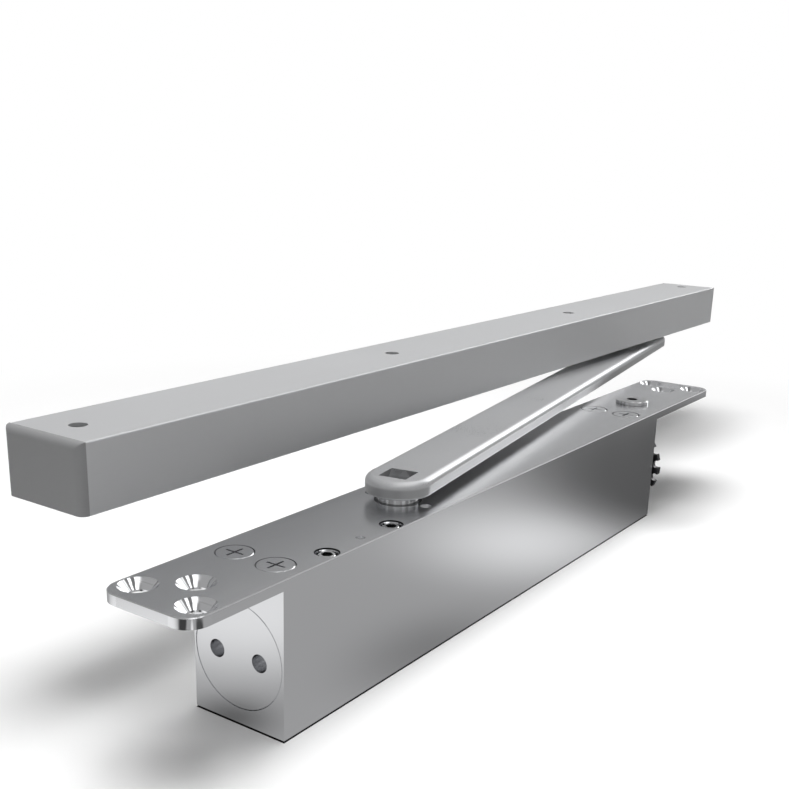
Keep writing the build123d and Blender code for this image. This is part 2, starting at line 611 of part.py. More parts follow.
def spring_seat():
    """Nut plate that the adjusting screw draws along the bore."""
    return lengthwise_ring(PISTON_RADIUS, SCREW_SHAFT_RADIUS + RUNNING_FIT, SEAT_LEFT, SEAT_RIGHT)


def adjusting_screw():
    """Screw along the bore with a thrust collar, and a groove for the wheel's circlip."""
    screw = lengthwise(SCREW_SHAFT_RADIUS, SEAT_LEFT - ADJUSTING_SCREW_TAIL, SCREW_SHAFT_RIGHT)
    screw += lengthwise(THRUST_COLLAR_DIAMETER / 2, THRUST_COLLAR_LEFT, THRUST_WASHER_LEFT)
    inner = SCREW_SHAFT_RADIUS - CIRCLIP_GROOVE_DEPTH
    end = WHEEL_CIRCLIP_LEFT + CIRCLIP_THICKNESS
    return screw - lengthwise_ring(SCREW_SHAFT_RADIUS + CUTTING_MARGIN, inner, WHEEL_CIRCLIP_LEFT, end)


def thrust_washer():
    """Washer between the screw's collar and the end plug."""
    inner = SCREW_SHAFT_RADIUS + RUNNING_FIT
    return lengthwise_ring(THRUST_WASHER_DIAMETER / 2, inner, THRUST_WASHER_LEFT, RIGHT_PLUG_INNER)


def adjuster_wheel():
    """Toothed wheel on the adjusting screw: straight gaps with round bottoms, cut in from the rim."""
    gap_radius = WHEEL_GAP_WIDTH / 2
    gap_centre = WHEEL_ROOT_RADIUS + gap_radius
    gap = Pos(gap_centre, 0) * Circle(gap_radius)
    gap += Pos(gap_centre + WHEEL_TOOTH_DEPTH, 0) * Rectangle(2 * WHEEL_TOOTH_DEPTH, WHEEL_GAP_WIDTH)
    outline = Circle(WHEEL_TIP_DIAMETER / 2)
    for index in range(WHEEL_TEETH):
        outline -= Rot(0, 0, 90 + WHEEL_PHASE + index * 360 / WHEEL_TEETH) * gap
    face = Plane(origin=(WHEEL_LEFT, 0, BORE_HEIGHT), x_dir=(0, 1, 0), z_dir=(1, 0, 0))
    disc = face * extrude(outline, WHEEL_THICKNESS)
    disc += lengthwise(WHEEL_HUB_DIAMETER / 2, WHEEL_LEFT - WHEEL_FROM_BODY + SEAM, WHEEL_HUB_RIGHT)
    return disc - lengthwise(SCREW_SHAFT_RADIUS + PUSH_FIT, BODY_RIGHT, WHEEL_HUB_RIGHT)


def wheel_circlip():
    """Circlip that holds the wheel on the screw."""
    inner = SCREW_SHAFT_RADIUS - CIRCLIP_GROOVE_DEPTH
    end = WHEEL_CIRCLIP_LEFT + CIRCLIP_THICKNESS
    return lengthwise_ring(SCREW_SHAFT_RADIUS + CIRCLIP_RISE, inner, WHEEL_CIRCLIP_LEFT, end)


def cross_pin_height():
    """Height of the cross pin through the pinion's disc."""
    return (PINION_TOP + PINION_DISC_BOTTOM) / 2


def cross_pin_bore(radius):
    """Cylinder across the pinion for its pin or the hole that holds it."""
    half = PINION_DISC_DIAMETER / 2 - SEAM
    bore = Rot(90, 0, 0) * Cylinder(radius, 2 * half)
    return Pos(PINION_X, 0, cross_pin_height()) * bore


def adjuster_spindle():
    """Key head on top of the flange, with a shaft down to the pinion."""
    head_bottom = BODY_HEIGHT + SEAM
    head = upright(ADJUSTER_HEAD_DIAMETER / 2, head_bottom, BODY_HEIGHT + ADJUSTER_HEAD_HEIGHT, PINION_X)
    head = chamfer(head.edges().sort_by(Axis.Z)[-1], ADJUSTER_HEAD_CHAMFER)
    top = BODY_HEIGHT + ADJUSTER_HEAD_HEIGHT
    spindle = head + upright(ADJUSTER_SHAFT_DIAMETER / 2, PINION_DISC_BOTTOM, head_bottom, PINION_X)
    spindle -= hex_socket(ADJUSTER_HEX, top - ADJUSTER_HEX_DEPTH, top, PINION_X)
    return spindle - cross_pin_bore(CROSS_PIN_DIAMETER / 2 + PUSH_FIT)


def pinion_tooth():
    """Tapered crown tooth that hangs from the pinion's disc towards the wheel, on its -X side."""
    root, tip = PINION_TOOTH_ROOT_WIDTH / 2, PINION_TOOTH_TIP_WIDTH / 2
    height = PINION_DISC_BOTTOM - PINION_TOOTH_BOTTOM
    outline = make_face(Polyline((-root, 0), (root, 0), (tip, -height), (-tip, -height), close=True))
    inner_radius = PINION_DISC_DIAMETER / 2 - PINION_TOOTH_RADIAL
    side = Plane(origin=(-inner_radius, 0, 0), x_dir=(0, -1, 0), z_dir=(-1, 0, 0))
    return side * extrude(outline, PINION_TOOTH_RADIAL)


def adjuster_pinion():
    """Crown pinion under the flange, whose teeth reach down into the wheel's gaps."""
    pinion = upright(PINION_DISC_DIAMETER / 2, PINION_DISC_BOTTOM, PINION_TOP, PINION_X)
    pinion -= upright(ADJUSTER_SHAFT_DIAMETER / 2 + PUSH_FIT, PINION_DISC_BOTTOM, PINION_TOP, PINION_X)
    turn = WHEEL_PHASE * WHEEL_TEETH / PINION_TEETH
    rim = upright(PINION_DISC_DIAMETER / 2, PINION_TOOTH_BOTTOM, PINION_DISC_BOTTOM, PINION_X)
    for index in range(PINION_TEETH):
        place = Pos(PINION_X, 0, PINION_DISC_BOTTOM) * Rot(0, 0, turn + index * 360 / PINION_TEETH)
        pinion += (place * pinion_tooth()) & rim
    return pinion - cross_pin_bore(CROSS_PIN_DIAMETER / 2 + PUSH_FIT)


def pinion_cross_pin():
    """Pin that keys the pinion to its spindle."""
    return cross_pin_bore(CROSS_PIN_DIAMETER / 2)


def valve_seal_bottom():
    """Height of the lower side of a valve's O-ring groove."""
    return VALVE_TOP - VALVE_SEAL_FROM_TOP - SMALL_RING_WIDTH


def regulating_valve(x):
    """Hexagon socket valve screw with a chamfered head and an O-ring groove."""
    y = -VALVE_FROM_CENTRE
    radius = VALVE_DIAMETER / 2
    valve = upright(radius, VALVE_BOTTOM, VALVE_TOP, x, y)
    valve = chamfer(valve.edges().sort_by(Axis.Z)[-1], VALVE_CHAMFER)
    valve -= hex_socket(VALVE_HEX, VALVE_TOP - VALVE_HEX_DEPTH, VALVE_TOP, x, y)
    low, high = valve_seal_bottom(), valve_seal_bottom() + SMALL_RING_WIDTH
    return valve - upright_ring(radius + CUTTING_MARGIN, radius - SMALL_RING_DEPTH, low, high, x, y)


def valve_seal(x):
    """O-ring of a regulating valve."""
    radius = VALVE_DIAMETER / 2
    low = valve_seal_bottom() + SEAM
    high = low + SMALL_RING_WIDTH - 2 * SEAM
    return upright_ring(radius, radius - SMALL_RING_DEPTH, low, high, x, -VALVE_FROM_CENTRE)


def arm():
    """Flat bar with round ends and rounded long edges, from the spindle to the pivot pin."""
    length = PIVOT_DISTANCE + ARM_TIP_MARGIN - ARM_END_CENTRE + ARM_WIDTH
    middle = ARM_END_CENTRE + (length - ARM_WIDTH) / 2
    bar = Pos(middle, 0, ARM_BOTTOM) * extrude(SlotOverall(length, ARM_WIDTH), ARM_THICKNESS)
    bar = fillet(bar.faces().sort_by(Axis.Z)[-1].edges(), ARM_TOP_ROUNDING)
    bar = fillet(bar.faces().sort_by(Axis.Z)[0].edges(), ARM_BOTTOM_ROUNDING)
    bar -= Pos(0, 0, ARM_BOTTOM + ARM_THICKNESS / 2) * Box(SQUARE_SIZE, SQUARE_SIZE, ARM_THICKNESS)
    bar -= upright(PIVOT_SPIGOT_DIAMETER / 2 + PUSH_FIT, ARM_BOTTOM, ARM_TOP, PIVOT_DISTANCE)
    return Rot(0, 0, ARM_REST_ANGLE) * bar


def pivot_pin():
    """Pin from the arm's tip up through the slide block, with a shoulder on the arm and a circlip groove."""
    place = (PIVOT_X, TRACK_CENTRE_Y)
    shoulder_top = ARM_TOP + PIVOT_SHOULDER_THICKNESS
    pin = upright(PIVOT_SPIGOT_DIAMETER / 2, ARM_BOTTOM, ARM_TOP, *place)
    pin += upright(PIVOT_SHOULDER_DIAMETER / 2, ARM_TOP, shoulder_top, *place)
    pin += upright(PIVOT_DIAMETER / 2, shoulder_top, PIN_TOP, *place)
    outer, inner = PIVOT_DIAMETER / 2 + CUTTING_MARGIN, PIVOT_DIAMETER / 2 - CIRCLIP_GROOVE_DEPTH
    groove_top = PIN_CIRCLIP_BOTTOM + CIRCLIP_THICKNESS
    return pin - upright_ring(outer, inner, PIN_CIRCLIP_BOTTOM, groove_top, *place)


def pin_circlip():
    """Circlip that holds the slide block on the pivot pin."""
    outer = PIVOT_DIAMETER / 2 + CIRCLIP_RISE
    inner = PIVOT_DIAMETER / 2 - CIRCLIP_GROOVE_DEPTH
    top = PIN_CIRCLIP_BOTTOM + CIRCLIP_THICKNESS
    return upright_ring(outer, inner, PIN_CIRCLIP_BOTTOM, top, PIVOT_X, TRACK_CENTRE_Y)


def slide_block():
    """Plastic block that runs in the track, bored for the pivot pin and recessed for its circlip."""
    outline = RectangleRounded(BLOCK_LENGTH, CHANNEL_WIDTH - 2 * BLOCK_SIDE_PLAY, BLOCK_CORNER_RADIUS)
    block = Pos(PIVOT_X, TRACK_CENTRE_Y, BLOCK_BOTTOM) * extrude(outline, BLOCK_TOP - BLOCK_BOTTOM)
    place = (PIVOT_X, TRACK_CENTRE_Y)
    block -= upright(BLOCK_RECESS_DIAMETER / 2, BLOCK_RECESS_FLOOR, BLOCK_TOP, *place)
    return block - upright(PIVOT_DIAMETER / 2 + RUNNING_FIT, BLOCK_BOTTOM, BLOCK_TOP, *place)


def track_rail():
    """Extruded rail with a slotted underside and four screw holes in its roof."""
    half = TRACK_WIDTH / 2
    y_range = (TRACK_CENTRE_Y - half, TRACK_CENTRE_Y + half)
    x_range = (TRACK_LEFT + CAP_THICKNESS, TRACK_RIGHT - CAP_THICKNESS)
    rail = brick(x_range, y_range, (TRACK_BOTTOM, TRACK_TOP))
    top_edges = rail.faces().sort_by(Axis.Z)[-1].edges().filter_by(Axis.X)
    rail = fillet(top_edges, TRACK_EDGE_RADIUS)
    half_channel = CHANNEL_WIDTH / 2
    channel = (TRACK_CENTRE_Y - half_channel, TRACK_CENTRE_Y + half_channel)
    rail -= brick(x_range, channel, (CHANNEL_BOTTOM, CHANNEL_TOP))
    half_slot = TRACK_SLOT_WIDTH / 2
    slot = (TRACK_CENTRE_Y - half_slot, TRACK_CENTRE_Y + half_slot)
    rail -= brick(x_range, slot, (TRACK_BOTTOM, CHANNEL_BOTTOM))
    for x in spread(TRACK_HOLE_COUNT, TRACK_HOLE_SPACING, TRACK_CENTRE_X):
        rail -= upright(TRACK_HOLE_DIAMETER / 2, CHANNEL_TOP, TRACK_TOP, x, TRACK_CENTRE_Y)
    return rail


def end_cap(outer_face, inward):
    """Plastic cap: quarter-round top and side edges that meet in a mitre, and a tongue in the channel."""
    half = TRACK_WIDTH / 2
    rounding = CAP_THICKNESS - SEAM
    inner_face = outer_face + inward * CAP_THICKNESS
    x_range = tuple(sorted((outer_face, inner_face)))
    y_range = (TRACK_CENTRE_Y - half, TRACK_CENTRE_Y + half)
    plate = brick(x_range, y_range, (TRACK_BOTTOM, TRACK_TOP))
    outer_edges = plate.edges().sort_by(lambda edge: abs(edge.center().X - outer_face))[:4]
    top_edge = outer_edges.sort_by(Axis.Z)[-1]
    side_edges = outer_edges.filter_by(Axis.Z)
    cap = fillet(top_edge, rounding) & fillet(side_edges, rounding)
    tongue_end = inner_face + inward * CAP_TONGUE_LENGTH
    half_tongue = CHANNEL_WIDTH / 2 - CAP_TONGUE_FIT
    tongue_y = (TRACK_CENTRE_Y - half_tongue, TRACK_CENTRE_Y + half_tongue)
    tongue_z = (CHANNEL_BOTTOM + CAP_TONGUE_FIT, CHANNEL_TOP - CAP_TONGUE_FIT)
    return cap + brick(tuple(sorted((inner_face, tongue_end))), tongue_y, tongue_z)


def build_parts():
    """Every sub-part by its name."""
    return {
        "closer_body": closer_body(),
        "end_plug": end_plug(),
        "end_plug_seal": ring_seal(BORE_RADIUS - RUNNING_FIT, plug_seal_start(BODY_LEFT, 1)),
        "spring_end_plug": spring_end_plug(),
        "spring_end_plug_seal": ring_seal(BORE_RADIUS - RUNNING_FIT, plug_seal_start(BODY_RIGHT, -1)),
        "sealing_plugs": sealing_plugs(),
        "channel_plugs": channel_plugs(),
        "upper_bush": upper_bush(),
        "shaft_seal": shaft_seal(),
        "bearing_cover": bearing_cover(),
        "bearing_cover_seal": bearing_cover_seal(),
        "lower_bush": lower_bush(),
        "cam_spindle": cam_spindle(),
        "arm": arm(),
        "pivot_pin": pivot_pin(),
        "pin_circlip": pin_circlip(),
        "slide_block": slide_block(),
        "track_rail": track_rail(),
        "left_end_cap": end_cap(TRACK_LEFT, 1),
        "right_end_cap": end_cap(TRACK_RIGHT, -1),
        "spring_piston": spring_piston(),
        "spring_piston_ring": spring_piston_ring(),
        "spring_roller": roller(SPRING_ROLLER_X),
        "spring_roller_pin": roller_pin(SPRING_ROLLER_X),
        "damping_piston": damping_piston(),
        "damping_piston_ring": damping_piston_ring(),
        "damping_roller": roller(DAMPING_ROLLER_X),
        "damping_roller_pin": roller_pin(DAMPING_ROLLER_X),
        "check_valve_ball": check_valve_ball(),
        "check_valve_retainer": check_valve_retainer(),
        "closing_spring": closing_spring(),
        "follower_spring": follower_spring(),
        "spring_seat": spring_seat(),
        "adjusting_screw": adjusting_screw(),
        "thrust_washer": thrust_washer(),
        "adjuster_wheel": adjuster_wheel(),
        "wheel_circlip": wheel_circlip(),
        "adjuster_spindle": adjuster_spindle(),
        "adjuster_pinion": adjuster_pinion(),
        "pinion_cross_pin": pinion_cross_pin(),
        "closing_speed_valve": regulating_valve(VALVE_PLACES[0]),
        "latching_speed_valve": regulating_valve(VALVE_PLACES[1]),
        "closing_valve_seal": valve_seal(VALVE_PLACES[0]),
        "latching_valve_seal": valve_seal(VALVE_PLACES[1]),
    }


os.makedirs("parts", exist_ok=True)
for name, shape in build_parts().items():
    export_step(shape, os.path.join("parts", name + ".step"))
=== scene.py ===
"""Studio scene of a cam action door closer with its swing arm and slide track.

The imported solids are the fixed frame. The arm bar, the end caps and the closing spring are modelled again
here as fine surfaces at the same size and place, and every other node keeps its solid. All of them get
procedural finishes. All lengths are in metres in the frame's own axes, with the origin on the spindle axis
under the housing.
"""
import functools
import json
import logging
import math
from dataclasses import dataclass, field
from enum import Enum

import bmesh
import bpy
import numpy as np
from mathutils import Euler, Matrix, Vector

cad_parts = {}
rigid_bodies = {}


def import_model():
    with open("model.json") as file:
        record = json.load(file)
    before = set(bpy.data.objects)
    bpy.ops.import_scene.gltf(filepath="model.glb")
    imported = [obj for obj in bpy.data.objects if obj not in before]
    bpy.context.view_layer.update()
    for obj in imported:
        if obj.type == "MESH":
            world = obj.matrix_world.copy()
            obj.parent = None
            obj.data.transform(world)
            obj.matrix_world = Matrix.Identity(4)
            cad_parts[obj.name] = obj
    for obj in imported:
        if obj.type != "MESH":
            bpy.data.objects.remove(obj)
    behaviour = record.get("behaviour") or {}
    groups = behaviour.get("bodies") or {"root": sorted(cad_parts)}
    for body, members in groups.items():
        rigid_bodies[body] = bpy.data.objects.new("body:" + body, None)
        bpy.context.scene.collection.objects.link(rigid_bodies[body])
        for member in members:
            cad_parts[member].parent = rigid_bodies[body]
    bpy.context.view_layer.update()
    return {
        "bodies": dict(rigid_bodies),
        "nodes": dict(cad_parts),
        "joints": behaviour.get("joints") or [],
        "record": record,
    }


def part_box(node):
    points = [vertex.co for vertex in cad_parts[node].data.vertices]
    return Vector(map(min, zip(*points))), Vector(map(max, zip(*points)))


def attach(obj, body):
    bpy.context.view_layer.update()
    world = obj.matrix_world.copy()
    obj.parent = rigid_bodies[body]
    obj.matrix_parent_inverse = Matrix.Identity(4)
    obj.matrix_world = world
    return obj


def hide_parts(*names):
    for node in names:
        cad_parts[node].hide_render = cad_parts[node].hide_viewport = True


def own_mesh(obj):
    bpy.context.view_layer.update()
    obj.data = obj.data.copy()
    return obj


MM = 0.001
SHARP_ANGLE = math.radians(35)
MERGE_DISTANCE = 1e-7
# Marks per metre of the large soft variation that every finish has, and the detail of all noise.
CLOUD_SCALE = 22.0
NOISE_DETAIL = 3.0
# Parts of the noise's range over which a finish's tone and its roughness vary.
TONE_RANGE = (0.35, 0.65)
ROUGHNESS_RANGE = (0.7, 1.3)
LEAST_ROUGHNESS = 0.02
WHITE = (1.0, 1.0, 1.0, 1.0)
# A zone starts this much inside its inner radius, so that one from 0 holds its own centre.
ZONE_MARGIN = 1e-9
# Points are rows of coordinates, and a surface is its points with the corner indices of its faces.
Points = np.ndarray
Surface = tuple[Points, np.ndarray]
Node = bpy.types.Node
Socket = bpy.types.NodeSocket
Tree = bpy.types.NodeTree
log = logging.getLogger("door_closer")


def feed(tree: Tree, value: Socket | float, target: Socket) -> None:
    """Links a socket to an input, or sets the input to a number.

    Args:
        tree: The nodes that both belong to.
        value: Socket or number.
        target: The input.
    """
    if isinstance(value, Socket):
        tree.links.new(value, target)
    else:
        target.default_value = value


def math_node(tree: Tree, operation: str, *values: Socket | float) -> Socket:
    """Adds a math node.

    Args:
        tree: The nodes that it joins.
        operation: Name of the operation.
        values: Sockets or numbers for its inputs.

    Returns:
        The result's socket.
    """
    node = tree.nodes.new("ShaderNodeMath")
    node.operation = operation
    for value, target in zip(values, node.inputs):
        feed(tree, value, target)
    return node.outputs[0]


def fold(tree: Tree, operation: str, values: list[Socket]) -> Socket:
    """Joins a list of sockets by one operation, such as a product or the least of them.

    Args:
        tree: The nodes that they belong to.
        operation: Name of a math operation on two values.
        values: The sockets.

    Returns:
        The result's socket.
    """
    return functools.reduce(lambda first, second: math_node(tree, operation, first, second), values)


def vector_node(tree: Tree, operation: str, place: Socket,
                other: tuple[float, float, float] = (0.0, 0.0, 0.0)) -> Node:
    """Adds a vector math node.

    Args:
        tree: The nodes that it joins.
        operation: Name of the operation.
        place: Socket for its first input.
        other: Value of its second input.

    Returns:
        The node.
    """
    node = tree.nodes.new("ShaderNodeVectorMath")
    node.operation = operation
    node.inputs[1].default_value = other
    tree.links.new(place, node.inputs[0])
    return node


def object_place(tree: Tree) -> Socket:
    """Adds the point's Object coordinates."""
    return tree.nodes.new("ShaderNodeTexCoord").outputs["Object"]


def axes(tree: Tree, place: Socket) -> bpy.types.NodeOutputs:
    """Splits coordinates into sockets named X, Y and Z.

    Args:
        tree: The nodes that they belong to.
        place: The coordinates.

    Returns:
        The three sockets.
    """
    split = tree.nodes.new("ShaderNodeSeparateXYZ")
    tree.links.new(place, split.inputs[0])
    return split.outputs


def fade(tree: Tree, value: Socket, start: float, end: float, low: float, high: float,
         curve: str = "SMOOTHSTEP") -> Socket:
    """Adds a step from one level to another.

    Args:
        tree: The nodes that it joins.
        value: What the step follows.
        start: Value where the step starts.
        end: Value where the step ends.
        low: Level before the start.
        high: Level after the end.
        curve: Shape of the step, SMOOTHSTEP or LINEAR.

    Returns:
        The level's socket.
    """
    node = tree.nodes.new("ShaderNodeMapRange")
    node.interpolation_type = curve
    for name, level in (("From Min", start), ("From Max", end), ("To Min", low), ("To Max", high)):
        node.inputs[name].default_value = level
    tree.links.new(value, node.inputs["Value"])
    return node.outputs["Result"]


def blend_levels(tree: Tree, share: Socket, first: Socket | float, second: Socket | float) -> Socket:
    """Adds a blend of two levels.

    Args:
        tree: The nodes that it joins.
        share: Share of the second level.
        first: Level at a share of 0.
        second: Level at a share of 1.

    Returns:
        The blended level's socket.
    """
    node = tree.nodes.new("ShaderNodeMix")
    tree.links.new(share, node.inputs["Factor"])
    feed(tree, first, node.inputs["A"])
    feed(tree, second, node.inputs["B"])
    return node.outputs["Result"]


class Grain(Enum):
    """Direction in which a finish is drawn out, as the stretch of its pattern on each axis."""

    NONE = (1.0, 1.0, 1.0)
    ALONG_X = (0.02, 1.0, 1.0)
    ALONG_Z = (1.0, 1.0, 0.03)


@dataclass(frozen=True)
class Finish:
    """One procedural surface finish.

    Attributes:
        name: The finish's name.
        colour: Linear base colour.
        metallic: 1 for bare metal, 0 for plastic and rubber.
        roughness: Mean roughness of the surface.
        grain: Direction of the drawn or ground marks.
        grain_scale: Marks per metre across the grain.
        tone_spread: Share by which the colour varies.
        roughness_spread: Amount by which the roughness varies.
        bump_height: Height of the marks, in metres.
    """

    name: str
    colour: tuple[float, float, float]
    metallic: float
    roughness: float
    grain: Grain = Grain.NONE
    grain_scale: float = 2500.0
    tone_spread: float = 0.06
    roughness_spread: float = 0.05
    bump_height: float = 2e-6

    def material(self) -> bpy.types.Material:
        """Finds the finish's material, or builds it.

        Returns:
            A node material that reads Object coordinates.
        """
        name = self.name + "_finish"
        if name not in bpy.data.materials:
            made = bpy.data.materials.new(name)
            made.use_nodes = True
            self._build(made.node_tree, made.node_tree.nodes["Principled BSDF"])
        return bpy.data.materials[name]

    def toned(self, factor: float) -> list[float]:
        """The base colour times a factor, with full alpha."""
        return [*(channel * factor for channel in self.colour), 1.0]

    def _build(self, tree: Tree, shader: Node) -> None:
        """Links tone, roughness and bump to noise that follows the grain.

        Half the fine marks plus half the large clouds set the tone, and their sum sets the roughness.

        Args:
            tree: The material's nodes.
            shader: The principled shader.
        """
        shader.inputs["Metallic"].default_value = self.metallic
        marks = self._noise(tree, self.grain_scale, self.grain)
        clouds = self._noise(tree, CLOUD_SCALE, Grain.NONE)
        ramp = tree.nodes.new("ShaderNodeValToRGB")
        factors = (1 - self.tone_spread, 1 + self.tone_spread)
        for element, position, factor in zip(ramp.color_ramp.elements, TONE_RANGE, factors):
            element.position = position
            element.color = self.toned(factor)
        halves = math_node(tree, "MULTIPLY_ADD", marks, 0.5, math_node(tree, "MULTIPLY", clouds, 0.5))
        tree.links.new(halves, ramp.inputs["Fac"])
        tree.links.new(ramp.outputs["Color"], shader.inputs["Base Color"])
        low = max(LEAST_ROUGHNESS, self.roughness - self.roughness_spread)
        high = self.roughness + self.roughness_spread
        spread = fade(tree, math_node(tree, "ADD", marks, clouds), *ROUGHNESS_RANGE, low, high, "LINEAR")
        tree.links.new(spread, shader.inputs["Roughness"])
        if self.bump_height == 0:
            return
        bump = tree.nodes.new("ShaderNodeBump")
        bump.inputs["Strength"].default_value = 1.0
        bump.inputs["Distance"].default_value = self.bump_height
        tree.links.new(marks, bump.inputs["Height"])
        tree.links.new(bump.outputs["Normal"], shader.inputs["Normal"])

    def _noise(self, tree: Tree, scale: float, grain: Grain) -> Socket:
        """Adds noise that is drawn out along the grain.

        Args:
            tree: The material's nodes.
            scale: Marks per metre.
            grain: Share of the scale on each axis.

        Returns:
            The noise's factor socket.
        """
        mapping = tree.nodes.new("ShaderNodeMapping")
        mapping.inputs["Scale"].default_value = [scale * share for share in grain.value]
        noise = tree.nodes.new("ShaderNodeTexNoise")
        noise.inputs["Scale"].default_value = 1.0
        noise.inputs["Detail"].default_value = NOISE_DETAIL
        tree.links.new(object_place(tree), mapping.inputs["Vector"])
        tree.links.new(mapping.outputs["Vector"], noise.inputs["Vector"])
        return noise.outputs["Fac"]


@dataclass(frozen=True)
class Zone:
    """Round zone of a finish, seen from above, with its own tone and roughness.

    Attributes:
        centres: X and Y of each centre, in metres.
        inner: Radius where the zone starts.
        outer: Radius where the zone ends.
        tone: Factor on the base colour.
        roughness: Roughness inside the zone.
        heights: Heights between which the zone reaches.
    """

    centres: tuple[tuple[float, float], ...]
    inner: float
    outer: float
    tone: float
    roughness: float
    heights: tuple[float, float] = (-1.0, 1.0)

    def share(self, tree: Tree) -> Socket:
        """Adds a factor that is 1 inside the zone and 0 outside it.

        The distance to the nearest centre is taken along X and Y alone.

        Args:
            tree: The material's nodes.

        Returns:
            The factor's socket.
        """
        place = object_place(tree)
        flat = vector_node(tree, "MULTIPLY", place, (1.0, 1.0, 0.0)).outputs["Vector"]
        nearest = fold(tree, "MINIMUM", [vector_node(tree, "DISTANCE", flat, (x, y, 0.0)).outputs["Value"]
                                         for x, y in self.centres])
        height = axes(tree, place)["Z"]
        return fold(tree, "MULTIPLY", [
            math_node(tree, "LESS_THAN", nearest, self.outer),
            math_node(tree, "GREATER_THAN", nearest, self.inner - ZONE_MARGIN),
            math_node(tree, "GREATER_THAN", height, self.heights[0]),
            math_node(tree, "LESS_THAN", height, self.heights[1]),
        ])


@dataclass(frozen=True)
class Rim:
    """Zone of a finish along the front edge of a top face, with its own tone and roughness.

    Attributes:
        front: Y in front of which the zone lies.
        above: Height above which it lies.
        tone: Factor on the base colour.
        roughness: Roughness inside the zone.
    """

    front: float
    above: float
    tone: float
    roughness: float

    def share(self, tree: Tree) -> Socket:
        """Adds a factor that is 1 inside the zone and 0 outside it.

        Args:
            tree: The material's nodes.

        Returns:
            The factor's socket.
        """
        place = axes(tree, object_place(tree))
        before = math_node(tree, "LESS_THAN", place["Y"], self.front)
        return math_node(tree, "MULTIPLY", before, math_node(tree, "GREATER_THAN", place["Z"], self.above))


@dataclass(frozen=True)
class Layer:
    """Zone of a finish between two heights, with soft limits and its own tone and roughness.

    Attributes:
        rise: Heights between which it fades in.
        fall: Heights between which it fades out.
        tone: Factor on the base colour.
        roughness: Roughness inside the zone.
    """

    rise: tuple[float, float]
    fall: tuple[float, float]
    tone: float
    roughness: float

    def share(self, tree: Tree) -> Socket:
        """Adds a factor that is 1 inside the zone and 0 outside it.

        Args:
            tree: The material's nodes.

        Returns:
            The factor's socket.
        """
        height = axes(tree, object_place(tree))["Z"]
        rising = fade(tree, height, *self.rise, 0.0, 1.0)
        return math_node(tree, "MULTIPLY", rising, fade(tree, height, *self.fall, 1.0, 0.0))


@dataclass(frozen=True)
class ZonedFinish(Finish):
    """Finish whose tone and roughness change in zones, such as polished cones and painted shade in gaps and
    recesses.

    Attributes:
        zones: The zones, each laid over the ones before it.
    """

    zones: tuple[Zone | Rim | Layer, ...] = ()

    def _build(self, tree: Tree, shader: Node) -> None:
        """Builds the plain finish and blends each zone's tone and roughness over it.

        Args:
            tree: The material's nodes.
            shader: The principled shader.
        """
        super()._build(tree, shader)
        roughness = shader.inputs["Roughness"].links[0].from_socket
        colour = shader.inputs["Base Color"].links[0].from_socket
        for zone in self.zones:
            share = zone.share(tree)
            roughness = blend_levels(tree, share, roughness, zone.roughness)
            blend = tree.nodes.new("ShaderNodeMix")
            blend.data_type = "RGBA"
            tree.links.new(share, blend.inputs["Factor"])
            first, second = (socket for socket in blend.inputs if socket.type == "RGBA")
            tree.links.new(colour, first)
            second.default_value = self.toned(zone.tone)
            colour = next(socket for socket in blend.outputs if socket.type == "RGBA")
        tree.links.new(roughness, shader.inputs["Roughness"])
        tree.links.new(colour, shader.inputs["Base Color"])


STEEL = (0.76, 0.765, 0.78)
POLISHED_STEEL = (0.80, 0.805, 0.81)
# X and Y of the round features that show in the housing, seen from above.
SPINDLE = ((0.0, 0.0),)
ADJUSTER = ((0.1779, 0.0),)
VALVES = ((-0.0499, -0.012), (-0.0203, -0.012))
LEFT_PLUGS = ((-0.06525, 0.00725), (-0.06525, -0.00725))
RIGHT_PLUGS = ((0.1552, 0.00725), (0.1552, -0.00725))
SCREW_HOLES = ((-0.0966, 0.010), (-0.0966, -0.010), (-0.0866, 0.0),
               (0.2234, 0.010), (0.2234, -0.010), (0.2134, 0.0))
LEFT_CORNERS = ((-0.0986, -0.010), (-0.0986, 0.010))
BODY_STEEL = ZonedFinish("satin_steel", STEEL, 1.0, 0.24, Grain.ALONG_X, 6000.0, 0.012, 0.02, 0.0, zones=(
    Zone(SCREW_HOLES, 0.0, 5.24 * MM, 1.1, 0.06),
    # Painted shade: the wall of each valve recess is near black just inside its rim and below 40 mm;
    # between 40 and 45 mm it keeps the base tone with a low roughness.
    Zone(VALVES, 3.1 * MM, 3.62 * MM, 0.04, 0.5),
    Zone(VALVES, 3.1 * MM, 3.62 * MM, 1.0, 0.10, (40.0 * MM, 45.0 * MM)),
    # Painted shade: a dark ring on the housing round the foot of the spindle collar.
    Zone(SPINDLE, 6.3 * MM, 7.5 * MM, 0.25, 0.4),
    # Painted shade: a dark ring round the right-hand sealing plugs.
    Zone(RIGHT_PLUGS, 5.0 * MM, 5.7 * MM, 0.10, 0.3),
    Zone(LEFT_CORNERS, 5.9 * MM, 6.1 * MM, 1.0, 0.05, (42.4 * MM, 45.22 * MM)),
    # Painted shade: the chamfer along the flange's top front edge is darkened, which dims its highlight.
    Rim(-15.70 * MM, 45.22 * MM, 0.60, 0.5),
    # Painted shade: a thin dark ring in the seam round each sealing plug.
    Zone(LEFT_PLUGS + RIGHT_PLUGS, 5.2 * MM, 5.48 * MM, 0.25, 0.3),
))
PLUG_STEEL = Finish("plug_steel", STEEL, 1.0, 0.24, Grain.NONE, 6000.0, 0.012, 0.02, 0.0)
TURNED_STEEL = Finish("turned_steel", (0.62, 0.625, 0.64), 1.0, 0.28, Grain.NONE, 4000.0, 0.03, 0.03, 0.0)
BRIGHT_STEEL = Finish("bright_steel", POLISHED_STEEL, 1.0, 0.07, Grain.NONE, 3000.0, 0.02, 0.02, 0.0)
